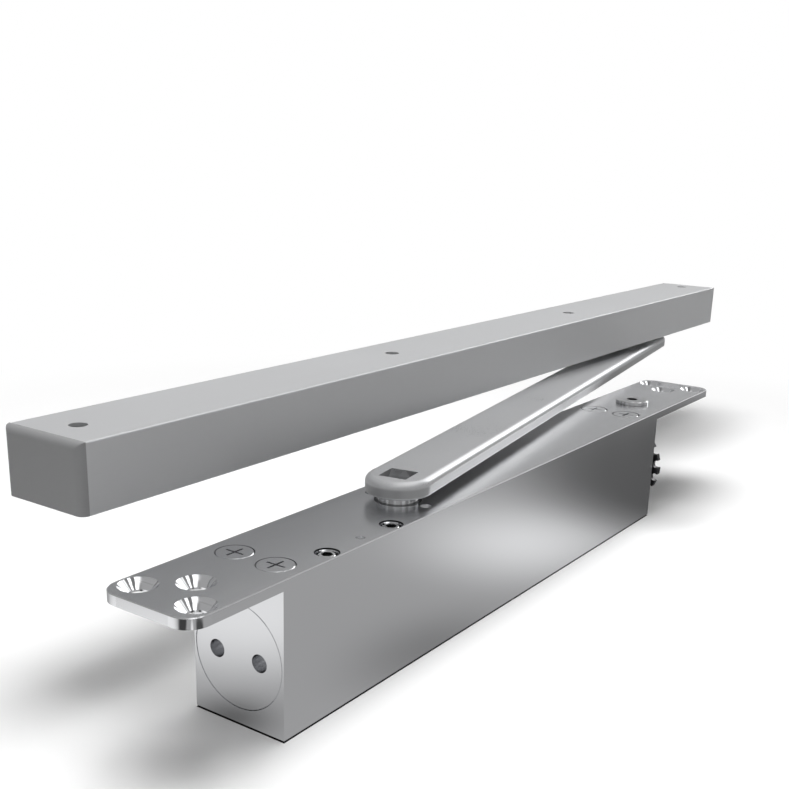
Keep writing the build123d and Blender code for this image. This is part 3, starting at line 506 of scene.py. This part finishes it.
# Painted shade: the middle of each valve's hex socket is near black.
VALVE_STEEL = ZonedFinish("valve_steel", POLISHED_STEEL, 1.0, 0.10, Grain.ALONG_Z, 1500.0, 0.25, 0.02, 3e-5,
                          zones=(Zone(VALVES, 0.0, 1.25 * MM, 0.08, 0.3),))
# Painted shade: the middle of the adjuster's head is near black.
ADJUSTER_STEEL = ZonedFinish("adjuster_steel", (0.74, 0.745, 0.75), 1.0, 0.18, Grain.ALONG_Z, 700.0, 0.25,
                             0.02, 4e-5, zones=(Zone(ADJUSTER, 0.0, 2.35 * MM, 0.08, 0.35),))
# Painted reflections: the collar's strong vertical tone streaks stand in for reflected stripes, while its
# bump holds the fine ground marks.
COLLAR_STEEL = Finish("ground_steel_painted_streaks", (0.70, 0.705, 0.71), 0.75, 0.10, Grain.ALONG_Z, 900.0, 0.85, 0.02,
                      8e-5)
DARK_STEEL = Finish("dark_steel", (0.10, 0.10, 0.105), 1.0, 0.36, Grain.NONE, 3000.0, 0.05, 0.05, 0.0)
SPRING_STEEL = Finish("oiled_spring_steel", (0.16, 0.165, 0.18), 1.0, 0.30)
BRONZE = Finish("bush_bronze", (0.50, 0.33, 0.14), 1.0, 0.32)
ARM_ALUMINIUM = ZonedFinish("blasted_aluminium", (0.575, 0.58, 0.59), 0.66, 0.30, Grain.NONE, 2600.0, 0.05,
                            0.03, 0.0, zones=(
    # Painted shade: a darker band round the bar's sides, below its top rounding, with a higher roughness.
    Layer((48.6 * MM, 49.0 * MM), (50.9 * MM, 51.8 * MM), 0.73, 0.34),
))
TRACK_ALUMINIUM = Finish("anodised_aluminium", (0.595, 0.60, 0.61), 0.45, 0.44, Grain.ALONG_X, 6000.0,
                         0.015, 0.02, 0.0)
CAP_PLASTIC = Finish("grey_moulded_plastic", (0.27, 0.272, 0.276), 0.0, 0.5, Grain.NONE, 5000.0, 0.03, 0.04,
                     0.0)
BLOCK_PLASTIC = Finish("white_moulded_plastic", (0.70, 0.69, 0.66), 0.0, 0.45)
BLACK_RUBBER = Finish("black_rubber", (0.02, 0.02, 0.02), 0.0, 0.6)

_frame: dict = {}


def nodes() -> dict[str, bpy.types.Object]:
    """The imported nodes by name."""
    return _frame["nodes"]


def mesh_object(name: str, points: Points, faces: np.ndarray) -> bpy.types.Object:
    """Makes a mesh object with outward normals, merged doubles and sharp creases.

    Args:
        name: The piece's name.
        points: Points by three, in metres.
        faces: Corner indices of each face.

    Returns:
        The new object, linked to the scene.
    """
    mesh = bpy.data.meshes.new(name)
    mesh.from_pydata(points.tolist(), [], faces.tolist())
    work = bmesh.new()
    work.from_mesh(mesh)
    bmesh.ops.remove_doubles(work, verts=work.verts, dist=MERGE_DISTANCE)
    bmesh.ops.recalc_face_normals(work, faces=work.faces)
    work.to_mesh(mesh)
    work.free()
    made = bpy.data.objects.new(name, mesh)
    bpy.context.scene.collection.objects.link(made)
    mesh.polygons.foreach_set("use_smooth", np.ones(len(mesh.polygons), bool))
    mesh.set_sharp_from_angle(angle=SHARP_ANGLE)
    weighted = made.modifiers.new("even_shading", "WEIGHTED_NORMAL")
    weighted.keep_sharp = True
    return made


def dress(piece: bpy.types.Object, finish: Finish) -> None:
    """Gives a piece one finish.

    Args:
        piece: A mesh object.
        finish: Its surface finish.
    """
    piece.data.materials.clear()
    piece.data.materials.append(finish.material())


def stadium(middle: float, half_length: float, half_width: float, arc_steps: int) -> tuple[Points, Points]:
    """Outline with two straight sides and round ends, centred on the X axis.

    Each end is half a circle: its centre plus the half width times the unit vector of an angle. One more
    point halves each straight side.

    Args:
        middle: X of the outline's middle.
        half_length: Distance from the middle to each end's centre.
        half_width: Radius of the ends.
        arc_steps: Steps of each half circle.

    Returns:
        Points by two, and the outward unit normals, anticlockwise from the lower right.
    """
    half_turn = np.linspace(-math.pi / 2, math.pi / 2, arc_steps + 1)
    angles = np.concatenate([half_turn, [math.pi / 2], half_turn + math.pi, [-math.pi / 2]])
    normals = np.stack([np.cos(angles), np.sin(angles)], axis=1)
    signs = np.concatenate([np.full(arc_steps + 1, 1.0), [0.0], np.full(arc_steps + 1, -1.0), [0.0]])
    centres = np.stack([middle + half_length * signs, np.zeros_like(signs)], axis=1)
    return centres + half_width * normals, normals


def band(first: Points, second: Points) -> Surface:
    """Quads between two closed rings that have as many points as each other.

    Args:
        first: Points by three.
        second: Points by three.

    Returns:
        The points of both rings and the corner indices of the quads.
    """
    count = len(first)
    here = np.arange(count)
    there = np.roll(here, -1)
    return np.concatenate([first, second]), np.stack([here, there, there + count, here + count], axis=-1)


def sheet(grid: Points) -> Surface:
    """Quads between the neighbours of a grid of points.

    Args:
        grid: Rows by columns by three.

    Returns:
        The points in one list and the corner indices of the quads.
    """
    rows, columns = grid.shape[:2]
    index = np.arange(rows * columns).reshape(rows, columns)
    quads = np.stack([index[:-1, :-1], index[1:, :-1], index[1:, 1:], index[:-1, 1:]], axis=-1)
    return grid.reshape(-1, 3), quads.reshape(-1, 4)


def joined(parts: list[Surface]) -> Surface:
    """Puts several sets of points and faces into one.

    Args:
        parts: Points and faces of each set.

    Returns:
        All the points and all the faces.
    """
    starts = np.cumsum([0] + [len(points) for points, _ in parts[:-1]])
    faces = [quads + start for (_, quads), start in zip(parts, starts)]
    return np.concatenate([points for points, _ in parts]), np.concatenate(faces)


def at_height(flat: Points, height: float) -> Points:
    """Gives flat points one height."""
    return np.column_stack([flat, np.full(len(flat), height)])


@dataclass
class SwingArm:
    """Flat bar with round ends and rounded edges, and the pin that carries its slide block.

    Attributes:
        angle: Angle of the bar from the X axis at rest.
        width: Width of the bar.
        thickness: Thickness of the bar. It is not used.
        end_centre: Distance of the near round end's centre beyond the spindle axis.
        pivot_distance: Distance of the pin from the spindle axis.
        tip_margin: Distance of the far round end's centre beyond the pin.
        top_rounding: Radius of the top edge.
        bottom_rounding: Radius of the bottom edge.
        square: Side of the square socket.
        pin_hole: Diameter of the pin's hole.
        arc_steps: Steps of each round end.
        cut_steps: Steps across the middle of a face.
        rounding_steps: Steps of each rounded edge.
    """

    angle: float = math.radians(9.15)
    width: float = 21.2 * MM
    thickness: float = 5.55 * MM
    end_centre: float = 0.6 * MM
    pivot_distance: float = 308.13 * MM
    tip_margin: float = 5.0 * MM
    top_rounding: float = 2.4 * MM
    bottom_rounding: float = 0.6 * MM
    square: float = 9.2 * MM
    pin_hole: float = 7.0 * MM
    arc_steps: int = 72
    cut_steps: int = 12
    rounding_steps: int = 10

    def build(self) -> None:
        """Builds the bar from its rounded sides, its two faces and the walls of its holes."""
        low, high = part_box("arm")
        half_length = (self.pivot_distance + self.tip_margin - self.end_centre) / 2
        middle = self.end_centre + half_length
        outline, normals = stadium(middle, half_length, self.width / 2, self.arc_steps)
        profile = self._profile(low.z, high.z)
        rings = [at_height(outline - inset * normals, height) for inset, height in profile]
        parts = [band(upper, lower) for upper, lower in zip(rings, rings[1:])]
        holes = {}
        for height, ring in ((high.z, rings[0]), (low.z, rings[-1])):
            for name, loop in self._halves(ring[:, :2]).items():
                holes[name, height] = at_height(self._hole(name, loop), height)
                parts.append(band(at_height(loop, height), holes[name, height]))
        for name in ("socket", "pin"):
            parts.append(band(holes[name, high.z], holes[name, low.z]))
        points, quads = joined(parts)
        bar = mesh_object("arm_bar", self._turned(points), quads)
        dress(bar, ARM_ALUMINIUM)
        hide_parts("arm")
        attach(bar, "arm")
        log.info("arm bar: %d faces", len(bar.data.polygons))

    def _profile(self, bottom: float, top: float) -> list[tuple[float, float]]:
        """Insets and heights of the side, from the top face down to the underside.

        Round an edge the inset is the radius times one minus the sine of the turn, and the drop is the
        radius times one minus its cosine.

        Args:
            bottom: Height of the underside.
            top: Height of the top face.

        Returns:
            Inset and height of each ring.
        """
        turn = np.linspace(0, math.pi / 2, self.rounding_steps + 1)
        upper, lower = self.top_rounding, self.bottom_rounding
        top_arc = np.stack([upper * (1 - np.sin(turn)), top - upper * (1 - np.cos(turn))], axis=1)
        bottom_arc = np.stack([lower * (1 - np.cos(turn)), bottom + lower * (1 - np.sin(turn))], axis=1)
        return np.concatenate([top_arc, bottom_arc]).tolist()

    def _halves(self, ring: Points) -> dict[str, Points]:
        """Cuts a face's outline across its middle, into one loop round each hole.

        Args:
            ring: The outline's points by two.

        Returns:
            The loop round the socket and the loop round the pin's hole.
        """
        right = ring[:self.arc_steps + 1]
        upper = ring[self.arc_steps + 1]
        left = ring[self.arc_steps + 2:-1]
        lower = ring[-1]
        share = np.linspace(0, 1, self.cut_steps + 1)[:, None]
        downward = upper + (lower - upper) * share
        return {"socket": np.concatenate([left, downward[::-1]]), "pin": np.concatenate([right, downward])}

    def _hole(self, name: str, loop: Points) -> Points:
        """Points of a hole's edge, each in line with a loop point and the hole's centre.

        For the round hole a direction is stretched to the radius. For the square one it is stretched until
        its larger coordinate is half the side, and the points nearest to the corners move onto them.

        Args:
            name: Which hole.
            loop: The loop's points by two.

        Returns:
            Points by two.
        """
        if name == "pin":
            centre = np.array([self.pivot_distance, 0.0])
            away = loop - centre
            return centre + self.pin_hole / 2 * away / np.linalg.norm(away, axis=1, keepdims=True)
        half = self.square / 2
        edge = loop * (half / np.abs(loop).max(axis=1, keepdims=True))
        for corner in np.array([[half, half], [-half, half], [-half, -half], [half, -half]]):
            nearest = np.argmin(np.linalg.norm(edge - corner, axis=1))
            edge[nearest] = corner
        return edge

    def _turned(self, points: Points) -> Points:
        """Turns points about the spindle axis to the bar's rest angle.

        Args:
            points: Array whose last axis holds x, y and z.

        Returns:
            The turned points.
        """
        cosine, sine = math.cos(self.angle), math.sin(self.angle)
        turn = np.array([[cosine, sine, 0.0], [-sine, cosine, 0.0], [0.0, 0.0, 1.0]])
        return points @ turn


@dataclass
class SlideTrack:
    """Extruded rail with a moulded cap on each end.

    Attributes:
        cap_thickness: Thickness of a cap outside the rail.
        rounding: Radius of a cap's top and side edges.
        grid_steps: Steps across a cap's face.
    """

    cap_thickness: float = 2.4 * MM
    rounding: float = 2.3 * MM
    grid_steps: int = 60

    def build(self) -> None:
        """Builds both caps and dresses the rail."""
        dress(nodes()["track_rail"], TRACK_ALUMINIUM)
        for name, inward in (("left_end_cap", 1.0), ("right_end_cap", -1.0)):
            cap = self._cap(name, inward)
            dress(cap, CAP_PLASTIC)
            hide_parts(name)
            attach(cap, "track")
            log.info("%s: %d faces", cap.name, len(cap.data.polygons))

    def _cap(self, node: str, inward: float) -> bpy.types.Object:
        """A cap's outer face, rim and back as one closed surface.

        The grid is finer near the edges, where the rounding lies: its lines follow one minus the cosine of
        an even turn. The face drops away near its top and side edges. Within one radius, the drop is the
        radius less the root of its square less the square of the remaining distance. The deeper of the two
        drops counts, so that the rounded edges meet in a mitre.

        Args:
            node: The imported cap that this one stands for.
            inward: Sign of X from the outer face to the rail.

        Returns:
            The new cap.
        """
        low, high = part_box(node)
        outer = low.x if inward > 0 else high.x
        spread = 0.5 - 0.5 * np.cos(np.linspace(0, math.pi, self.grid_steps + 1))
        width, height = high.y - low.y, high.z - low.z
        y, z = np.meshgrid(low.y + width * spread, low.z + height * spread, indexing="ij")
        to_edge = np.minimum(np.minimum(y - low.y, high.y - y), high.z - z)
        shortfall = np.clip(self.rounding - to_edge, 0, self.rounding)
        drop = self.rounding - np.sqrt(self.rounding ** 2 - shortfall ** 2)
        face = np.stack([outer + inward * drop, y, z], axis=-1)
        back = np.stack([np.full_like(y, outer + inward * self.cap_thickness), y, z], axis=-1)
        rim = [np.concatenate([grid[:, 0], grid[-1, 1:], grid[-2::-1, -1], grid[0, -2:0:-1]])
               for grid in (face, back)]
        return mesh_object(node + "_cover", *joined([sheet(face), sheet(back), band(*rim)]))


@dataclass
class DressedNodes:
    """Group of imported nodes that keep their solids.

    Attributes:
        finishes: Finish of each node.
    """

    finishes: dict[str, Finish]

    def build(self) -> None:
        """Dresses the nodes."""
        for name, finish in self.finishes.items():
            dress(nodes()[name], finish)
        log.info("%s: %d nodes dressed", type(self).__name__.lower(), len(self.finishes))


@dataclass
class Housing(DressedNodes):
    """Bored housing with the plugs, valves and adjuster that show on it."""

    finishes: dict[str, Finish] = field(default_factory=lambda: {
        "closer_body": BODY_STEEL, "end_plug": PLUG_STEEL, "spring_end_plug": PLUG_STEEL,
        "sealing_plugs": PLUG_STEEL, "channel_plugs": BRIGHT_STEEL, "bearing_cover": TURNED_STEEL,
        "closing_speed_valve": VALVE_STEEL, "latching_speed_valve": VALVE_STEEL,
        "adjuster_spindle": ADJUSTER_STEEL, "adjuster_pinion": DARK_STEEL, "pinion_cross_pin": BRIGHT_STEEL,
        "adjuster_wheel": DARK_STEEL, "adjusting_screw": TURNED_STEEL, "wheel_circlip": SPRING_STEEL,
    })


@dataclass
class Mechanism(DressedNodes):
    """Spindle, pistons, springs and seals inside the housing, and the block in the track."""

    finishes: dict[str, Finish] = field(default_factory=lambda: {
        "cam_spindle": COLLAR_STEEL, "pivot_pin": BRIGHT_STEEL, "pin_circlip": SPRING_STEEL,
        "slide_block": BLOCK_PLASTIC, "upper_bush": BRONZE, "lower_bush": BRONZE, "thrust_washer": BRONZE,
        "end_plug_seal": BLACK_RUBBER, "spring_end_plug_seal": BLACK_RUBBER, "shaft_seal": BLACK_RUBBER,
        "bearing_cover_seal": BLACK_RUBBER, "spring_piston_ring": BLACK_RUBBER,
        "damping_piston_ring": BLACK_RUBBER, "closing_valve_seal": BLACK_RUBBER,
        "latching_valve_seal": BLACK_RUBBER, "spring_piston": TURNED_STEEL, "damping_piston": TURNED_STEEL,
        "spring_seat": TURNED_STEEL, "spring_roller": BRIGHT_STEEL, "damping_roller": BRIGHT_STEEL,
        "spring_roller_pin": BRIGHT_STEEL, "damping_roller_pin": BRIGHT_STEEL,
        "check_valve_ball": BRIGHT_STEEL, "check_valve_retainer": TURNED_STEEL,
        "follower_spring": SPRING_STEEL,
    })


@dataclass
class ClosingSpring:
    """Square-wire spring in two halves that meet midway, one for its piston and one for its seat.

    Attributes:
        wire_width: Thickness of the wire across the axis.
        wire_height: Thickness of the wire along the axis.
        turns: Turns of each half.
        steps: Sections in one turn.
        section_steps: Points round a section.
        stroke: How far the piston or the seat moves the half's end. It is not used.
        squareness: Power on the wire's cosine and sine, which is 1 for a round wire.
    """

    wire_width: float = 3.0 * MM
    wire_height: float = 3.2 * MM
    turns: float = 4.0
    steps: int = 48
    section_steps: int = 16
    stroke: float = 6.1 * MM
    squareness: float = 0.35

    def build(self) -> None:
        """Makes both halves."""
        low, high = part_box("closing_spring")
        middle = (low + high) / 2
        for side, joint in (("front", "spring_piston_slide"), ("rear", "spring_seat_travel")):
            start, end = (low.x, middle.x) if side == "front" else (middle.x, high.x)
            points, faces = self._coil(start + self.wire_height / 2, end - self.wire_height / 2,
                                       (high.z - low.z - self.wire_width) / 2, middle)
            piece = mesh_object(f"closing_spring_{side}", points, faces)
            dress(piece, SPRING_STEEL)
            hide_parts("closing_spring")
            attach(piece, "closer")
            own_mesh(piece)
            log.info("%s: %d faces", piece.name, len(piece.data.polygons))

    def _coil(self, start: float, end: float, radius: float, middle: Vector) -> Surface:
        """Wire carried round a helix along X.

        The helix advances evenly from start to end while it turns. Round each of its points lies a ring of
        the wire's section: half the width times the powered cosine outwards, half the height times the
        powered sine along the axis. A last ring at each end shrinks to its centre.

        Args:
            start: X of the first section's centre.
            end: X of the last section's centre.
            radius: Radius of the helix.
            middle: Point on the spring's axis.

        Returns:
            Points and faces.
        """
        count = int(self.turns * self.steps)
        section = np.clip(np.arange(-1, count + 2), 0, count)[:, None]
        turned = np.linspace(0.0, self.turns * 2 * math.pi, count + 1)[section]
        centre = np.linspace(start, end, count + 1)[section]
        angle = np.append(np.linspace(0.0, 2 * math.pi, self.section_steps, endpoint=False), 0.0)
        across, lengthwise = (np.sign(wave) * np.abs(wave) ** self.squareness
                              for wave in (np.cos(angle), np.sin(angle)))
        share = np.ones((count + 3, 1))
        share[[0, -1]] = 0.0
        outward = radius + share * self.wire_width / 2 * across
        along = centre + share * self.wire_height / 2 * lengthwise
        return sheet(np.stack([along, middle.y + outward * np.sin(turned),
                               middle.z - outward * np.cos(turned)], axis=-1))


@dataclass(frozen=True)
class SoftBox:
    """One studio lamp with a rectangular diffuser.

    Attributes:
        name: The lamp's name.
        place: Position in metres.
        aim: Point that it faces.
        width: Width of the diffuser.
        depth: Depth of the diffuser.
        power: Power in watts.
        lights: False if it only shows in reflections.
        mirrored: False if reflections don't show it.
    """

    name: str
    place: tuple[float, float, float]
    aim: tuple[float, float, float]
    width: float
    depth: float
    power: float
    lights: bool = True
    mirrored: bool = True

    def build(self) -> None:
        """Adds the lamp to the scene."""
        lamp = bpy.data.lights.new(self.name, "AREA")
        lamp.shape = "RECTANGLE"
        lamp.size, lamp.size_y = self.width, self.depth
        lamp.energy = self.power
        holder = bpy.data.objects.new(self.name, lamp)
        holder.location = self.place
        direction = Vector(self.aim) - Vector(self.place)
        holder.rotation_euler = direction.to_track_quat("-Z", "Y").to_euler()
        holder.visible_diffuse = self.lights
        holder.visible_glossy = self.mirrored
        bpy.context.scene.collection.objects.link(holder)


@dataclass(frozen=True)
class Glow:
    """Soft patch of its own brightness on the floor or in the surroundings.

    Attributes:
        centre: Centre in metres on the floor, or the direction towards it.
        reach: Half the length along each axis on the floor, or the cosines at its edge and at its core.
        level: Brightness at its core, where 1 is white.
        core: Share of the reach on the floor that has the full level.
    """

    centre: tuple[float, float, float]
    reach: tuple[float, float]
    level: float
    core: float = 0.0


@dataclass
class Surroundings:
    """White background, plain fill light and what polished metal sees of the room.

    Attributes:
        fill: Strength of the light on the object.
        low_level: Brightness near the horizon, as reflections see it.
        high_level: Brightness overhead, as reflections see it.
        rise: Heights of a direction between which the brightness rises.
        strips: How often lamp strips overhead repeat, as a rate along X and Y.
        strip_edges: Values of the strips' wave between which their brightness changes.
        strip_spread: Amount by which the strips' brightness varies.
        patches: Brighter or darker parts of the room.
    """

    fill: float = 0.15
    low_level: float = 0.42
    high_level: float = 1.05
    rise: tuple[float, float] = (0.48, 0.90)
    strips: tuple[float, float] = (15.0, 6.0)
    strip_edges: tuple[float, float] = (-0.5, 0.5)
    strip_spread: float = 0.85
    patches: tuple[Glow, ...] = (
        Glow((-0.22, 0.52, 0.82), (0.62, 0.90), 0.38),
        Glow((0.89, -0.045, 0.454), (0.93, 0.985), 2.2),
    )

    def build(self) -> None:
        """Makes the world."""
        world = bpy.data.worlds.new("studio_white")
        world.use_nodes = True
        bpy.context.scene.world = world
        tree = world.node_tree
        background = tree.nodes["Background"]
        path = tree.nodes.new("ShaderNodeLightPath").outputs
        seen = blend_levels(tree, path["Is Glossy Ray"], self.fill, self._room(tree))
        plain = math_node(tree, "MAXIMUM", path["Is Camera Ray"], path["Is Transmission Ray"])
        background.inputs["Color"].default_value = WHITE
        tree.links.new(blend_levels(tree, plain, seen, 1.0), background.inputs["Strength"])

    def _room(self, tree: Tree) -> Socket:
        """Brightness of the room in a direction, which rises from the horizon to lamp strips overhead.

        The strips follow the sine of a sum of the direction's X and Y, each times its own rate.

        Args:
            tree: The world's nodes.

        Returns:
            The brightness's socket.
        """
        direction = tree.nodes.new("ShaderNodeTexCoord").outputs["Generated"]
        parts = axes(tree, direction)
        phase = math_node(tree, "MULTIPLY", parts["Y"], self.strips[1])
        wave = math_node(tree, "SINE", math_node(tree, "MULTIPLY_ADD", parts["X"], self.strips[0], phase))
        dim, bright = self.high_level - self.strip_spread, self.high_level + self.strip_spread
        strip = fade(tree, wave, *self.strip_edges, dim, bright)
        level = blend_levels(tree, fade(tree, parts["Z"], *self.rise, 0.0, 1.0), self.low_level, strip)
        for patch in self.patches:
            towards = Vector(patch.centre).normalized()
            along = vector_node(tree, "DOT_PRODUCT", direction, towards).outputs["Value"]
            level = blend_levels(tree, fade(tree, along, *patch.reach, 0.0, 1.0), level, patch.level)
        return level


@dataclass
class Floor:
    """Plain pale floor, which keeps the object's shadow and is white further out.

    Attributes:
        size: Side of the floor.
        gap: Height of the object over the floor, so that a thin dark line shows at its foot.
        foot: Half the length and half the width of the floor under the housing that is painted black, as
            painted shadow.
        colour: Diffuse colour.
        lift: Light added where the camera sees it.
        white_from: Distance from the middle where it starts to turn plain white.
        white_at: Distance where it is plain white.
        middle: Middle of the object on the floor.
        mirrored_level: Brightness of the floor in reflections.
        patches: Brighter or darker parts in reflections.
        shades: Painted shadow patches that deepen the soft shadow, each with the share of the floor's
            brightness that is left in it.
    """

    size: float = 12.0
    gap: float = 0.5 * MM
    foot: tuple[float, float] = (120.4 * MM, 16.1 * MM)
    colour: float = 0.90
    lift: float = 0.10
    white_from: float = 0.25
    white_at: float = 0.45
    middle: tuple[float, float, float] = (0.08, 0.0, 0.0)
    mirrored_level: float = 0.42
    patches: tuple[Glow, ...] = (
        Glow((-0.150, 0.055, 0.0), (0.085, 0.085), 1.0, 0.35),
        Glow((-0.074, 0.004, 0.0), (0.018, 0.022), 0.15),
        Glow((0.000, -0.018, 0.0), (0.055, 0.03), 0.26),
        Glow((0.103, -0.048, 0.0), (0.068, 0.060), 0.94),
        Glow((0.300, -0.010, 0.0), (0.180, 0.14), 0.11, 0.65),
        Glow((-0.200, -0.035, 0.0), (0.020, 0.048), 0.06, 0.5),
        Glow((-0.158, -0.088, 0.0), (0.014, 0.014), 0.95, 0.3),
        Glow((-0.105, -0.108, 0.0), (0.038, 0.014), 0.08, 0.5),
    )
    # Painted shadow: each patch darkens the floor's colour and lift.
    shades: tuple[Glow, ...] = (
        Glow((-0.068, 0.024, 0.0), (0.036, 0.040), 0.70),
        Glow((0.205, -0.018, 0.0), (0.070, 0.036), 0.66),
        Glow((0.310, 0.024, 0.0), (0.110, 0.040), 0.62),
        Glow((0.172, -0.024, 0.0), (0.034, 0.024), 0.72),
    )

    def build(self) -> None:
        """Makes the floor."""
        square = np.array([[-0.5, -0.5], [0.5, -0.5], [0.5, 0.5], [-0.5, 0.5]])
        corners = at_height(self.size * square, -self.gap)
        mesh = bpy.data.meshes.new("floor")
        mesh.from_pydata(corners.tolist(), [], [(0, 1, 2, 3)])
        floor = bpy.data.objects.new("floor", mesh)
        bpy.context.scene.collection.objects.link(floor)
        mesh.materials.append(self._material())

    def _material(self) -> bpy.types.Material:
        """Diffuse floor with a lift for the camera and painted shadow, and a soft pattern for reflections.

        Returns:
            The floor's material.
        """
        material = bpy.data.materials.new("pale_floor")
        material.use_nodes = True
        tree = material.node_tree
        tree.nodes.clear()
        place = object_place(tree)
        path = tree.nodes.new("ShaderNodeLightPath").outputs
        # Painted shadow: the floor under the housing is painted black, and the shades darken it in places.
        open_share = math_node(tree, "MULTIPLY", self._outside_foot(tree, place),
                               self._pattern(tree, place, 1.0, self.shades))
        near = tree.nodes.new("ShaderNodeBsdfDiffuse")
        tree.links.new(math_node(tree, "MULTIPLY", open_share, self.colour), near.inputs["Color"])
        lifted = math_node(tree, "MULTIPLY", path["Is Camera Ray"], self.lift)
        glow = self._glowing(tree, math_node(tree, "MULTIPLY", lifted, open_share))
        lit = tree.nodes.new("ShaderNodeAddShader")
        tree.links.new(near.outputs[0], lit.inputs[0])
        tree.links.new(glow.outputs[0], lit.inputs[1])
        distance = vector_node(tree, "DISTANCE", place, self.middle).outputs["Value"]
        outer = fade(tree, distance, self.white_from, self.white_at, 0.0, 1.0)
        far = math_node(tree, "MULTIPLY", outer, path["Is Camera Ray"])
        seen = self._mix(tree, far, lit, self._glowing(tree, 1.0))
        mirrored = self._glowing(tree, self._pattern(tree, place, self.mirrored_level, self.patches))
        both = self._mix(tree, path["Is Glossy Ray"], seen, mirrored)
        output = tree.nodes.new("ShaderNodeOutputMaterial")
        tree.links.new(both.outputs[0], output.inputs["Surface"])
        return material

    def _outside_foot(self, tree: Tree, place: Socket) -> Socket:
        """Adds a factor that is 0 under the housing, where the floor is painted black as painted shadow,
        and 1 elsewhere.

        Args:
            tree: The material's nodes.
            place: The point's coordinates.

        Returns:
            The factor's socket.
        """
        parts = axes(tree, place)
        low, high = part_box("end_plug")[0].x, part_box("spring_end_plug")[1].x
        along = math_node(tree, "ABSOLUTE", math_node(tree, "SUBTRACT", parts["X"], (low + high) / 2))
        across = math_node(tree, "ABSOLUTE", parts["Y"])
        beyond = math_node(tree, "GREATER_THAN", along, self.foot[0])
        return math_node(tree, "MAXIMUM", beyond, math_node(tree, "GREATER_THAN", across, self.foot[1]))

    def _glowing(self, tree: Tree, strength: Socket | float) -> Node:
        """Adds a shader that gives off white light.

        Args:
            tree: The material's nodes.
            strength: Its strength, where 1 is white.

        Returns:
            The shader's node.
        """
        glowing = tree.nodes.new("ShaderNodeEmission")
        feed(tree, strength, glowing.inputs["Strength"])
        return glowing

    def _mix(self, tree: Tree, share: Socket, first: Node, second: Node) -> Node:
        """Blends two shaders.

        Args:
            tree: The material's nodes.
            share: Share of the second.
            first: Shader at a share of 0.
            second: Shader at a share of 1.

        Returns:
            The blending node.
        """
        mix = tree.nodes.new("ShaderNodeMixShader")
        for source, target in zip((share, first.outputs[0], second.outputs[0]), mix.inputs):
            tree.links.new(source, target)
        return mix

    def _pattern(self, tree: Tree, place: Socket, level: float, patches: tuple[Glow, ...]) -> Socket:
        """Level with soft elliptical patches.

        A patch's share falls from 1 at its core to 0 where the offset from its centre, divided by its reach
        on each axis, is one long.

        Args:
            tree: The material's nodes.
            place: The point's coordinates.
            level: Level between the patches.
            patches: The patches, each laid over the ones before it.

        Returns:
            The level's socket.
        """
        for patch in patches:
            scale = (1 / patch.reach[0], 1 / patch.reach[1], 1.0)
            scaled = tree.nodes.new("ShaderNodeMapping")
            scaled.inputs["Scale"].default_value = scale
            scaled.inputs["Location"].default_value = [-c * s for c, s in zip(patch.centre, scale)]
            tree.links.new(place, scaled.inputs["Vector"])
            offset = vector_node(tree, "LENGTH", scaled.outputs[0]).outputs["Value"]
            level = blend_levels(tree, fade(tree, offset, patch.core, 1.0, 1.0, 0.0), level, patch.level)
        return level


@dataclass
class Studio:
    """Surroundings, floor, soft lamps and the camera.

    Attributes:
        camera_place: Position of the camera, in metres.
        camera_turn: Euler angles of the camera, in degrees.
        sensor: Width of the camera's sensor, in millimetres.
        lens: Focal length in millimetres.
        shift_x: Sideways shift as a share of the frame's width.
        shift_y: Upward shift as a share of the frame's width.
        nearest: Distance from which the camera sees.
        lamps: The soft boxes.
    """

    camera_place: tuple[float, float, float] = (-0.26314, -0.18220, 0.14972)
    camera_turn: tuple[float, float, float] = (72.5498, -1.4992, -54.5236)
    sensor: float = 36.0
    lens: float = 49.508
    shift_x: float = 0.00237
    shift_y: float = 0.11826
    nearest: float = 0.01
    lamps: tuple[SoftBox, ...] = (
        SoftBox("overhead", (0.06, 0.03, 0.90), (0.09, 0.0, 0.0), 0.56, 0.56, 8.9, mirrored=False),
        SoftBox("far_right", (1.20, -0.12, 0.45), (0.1, 0.0, 0.04), 0.40, 0.16, 0.65, lights=False),
        SoftBox("left_fill", (-1.30, -0.50, 0.40), (0.0, 0.0, 0.05), 0.60, 0.30, 2.2, mirrored=False),
    )

    def build(self) -> None:
        """Adds the surroundings, the floor, the lamps and the camera."""
        Surroundings().build()
        Floor().build()
        for lamp in self.lamps:
            lamp.build()
        self._camera()
        bpy.context.scene.view_settings.view_transform = "Standard"
        log.info("studio: %d lamps", len(self.lamps))

    def _camera(self) -> None:
        """Adds the camera at the viewing angle."""
        data = bpy.data.cameras.new("camera")
        data.sensor_width, data.lens = self.sensor, self.lens
        data.shift_x, data.shift_y = self.shift_x, self.shift_y
        data.clip_start = self.nearest
        camera = bpy.data.objects.new("camera", data)
        camera.location = self.camera_place
        camera.rotation_euler = Euler([math.radians(angle) for angle in self.camera_turn])
        bpy.context.scene.collection.objects.link(camera)
        bpy.context.scene.camera = camera


def main() -> None:
    """Loads the frame and builds every class in order."""
    logging.basicConfig(level=logging.INFO, format="%(name)s: %(message)s")
    for stray in list(bpy.data.objects):
        bpy.data.objects.remove(stray)
    _frame.update(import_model())
    Studio().build()
    Housing().build()
    Mechanism().build()
    ClosingSpring().build()
    SwingArm().build()
    SlideTrack().build()


if __name__ == "__main__":
    main()
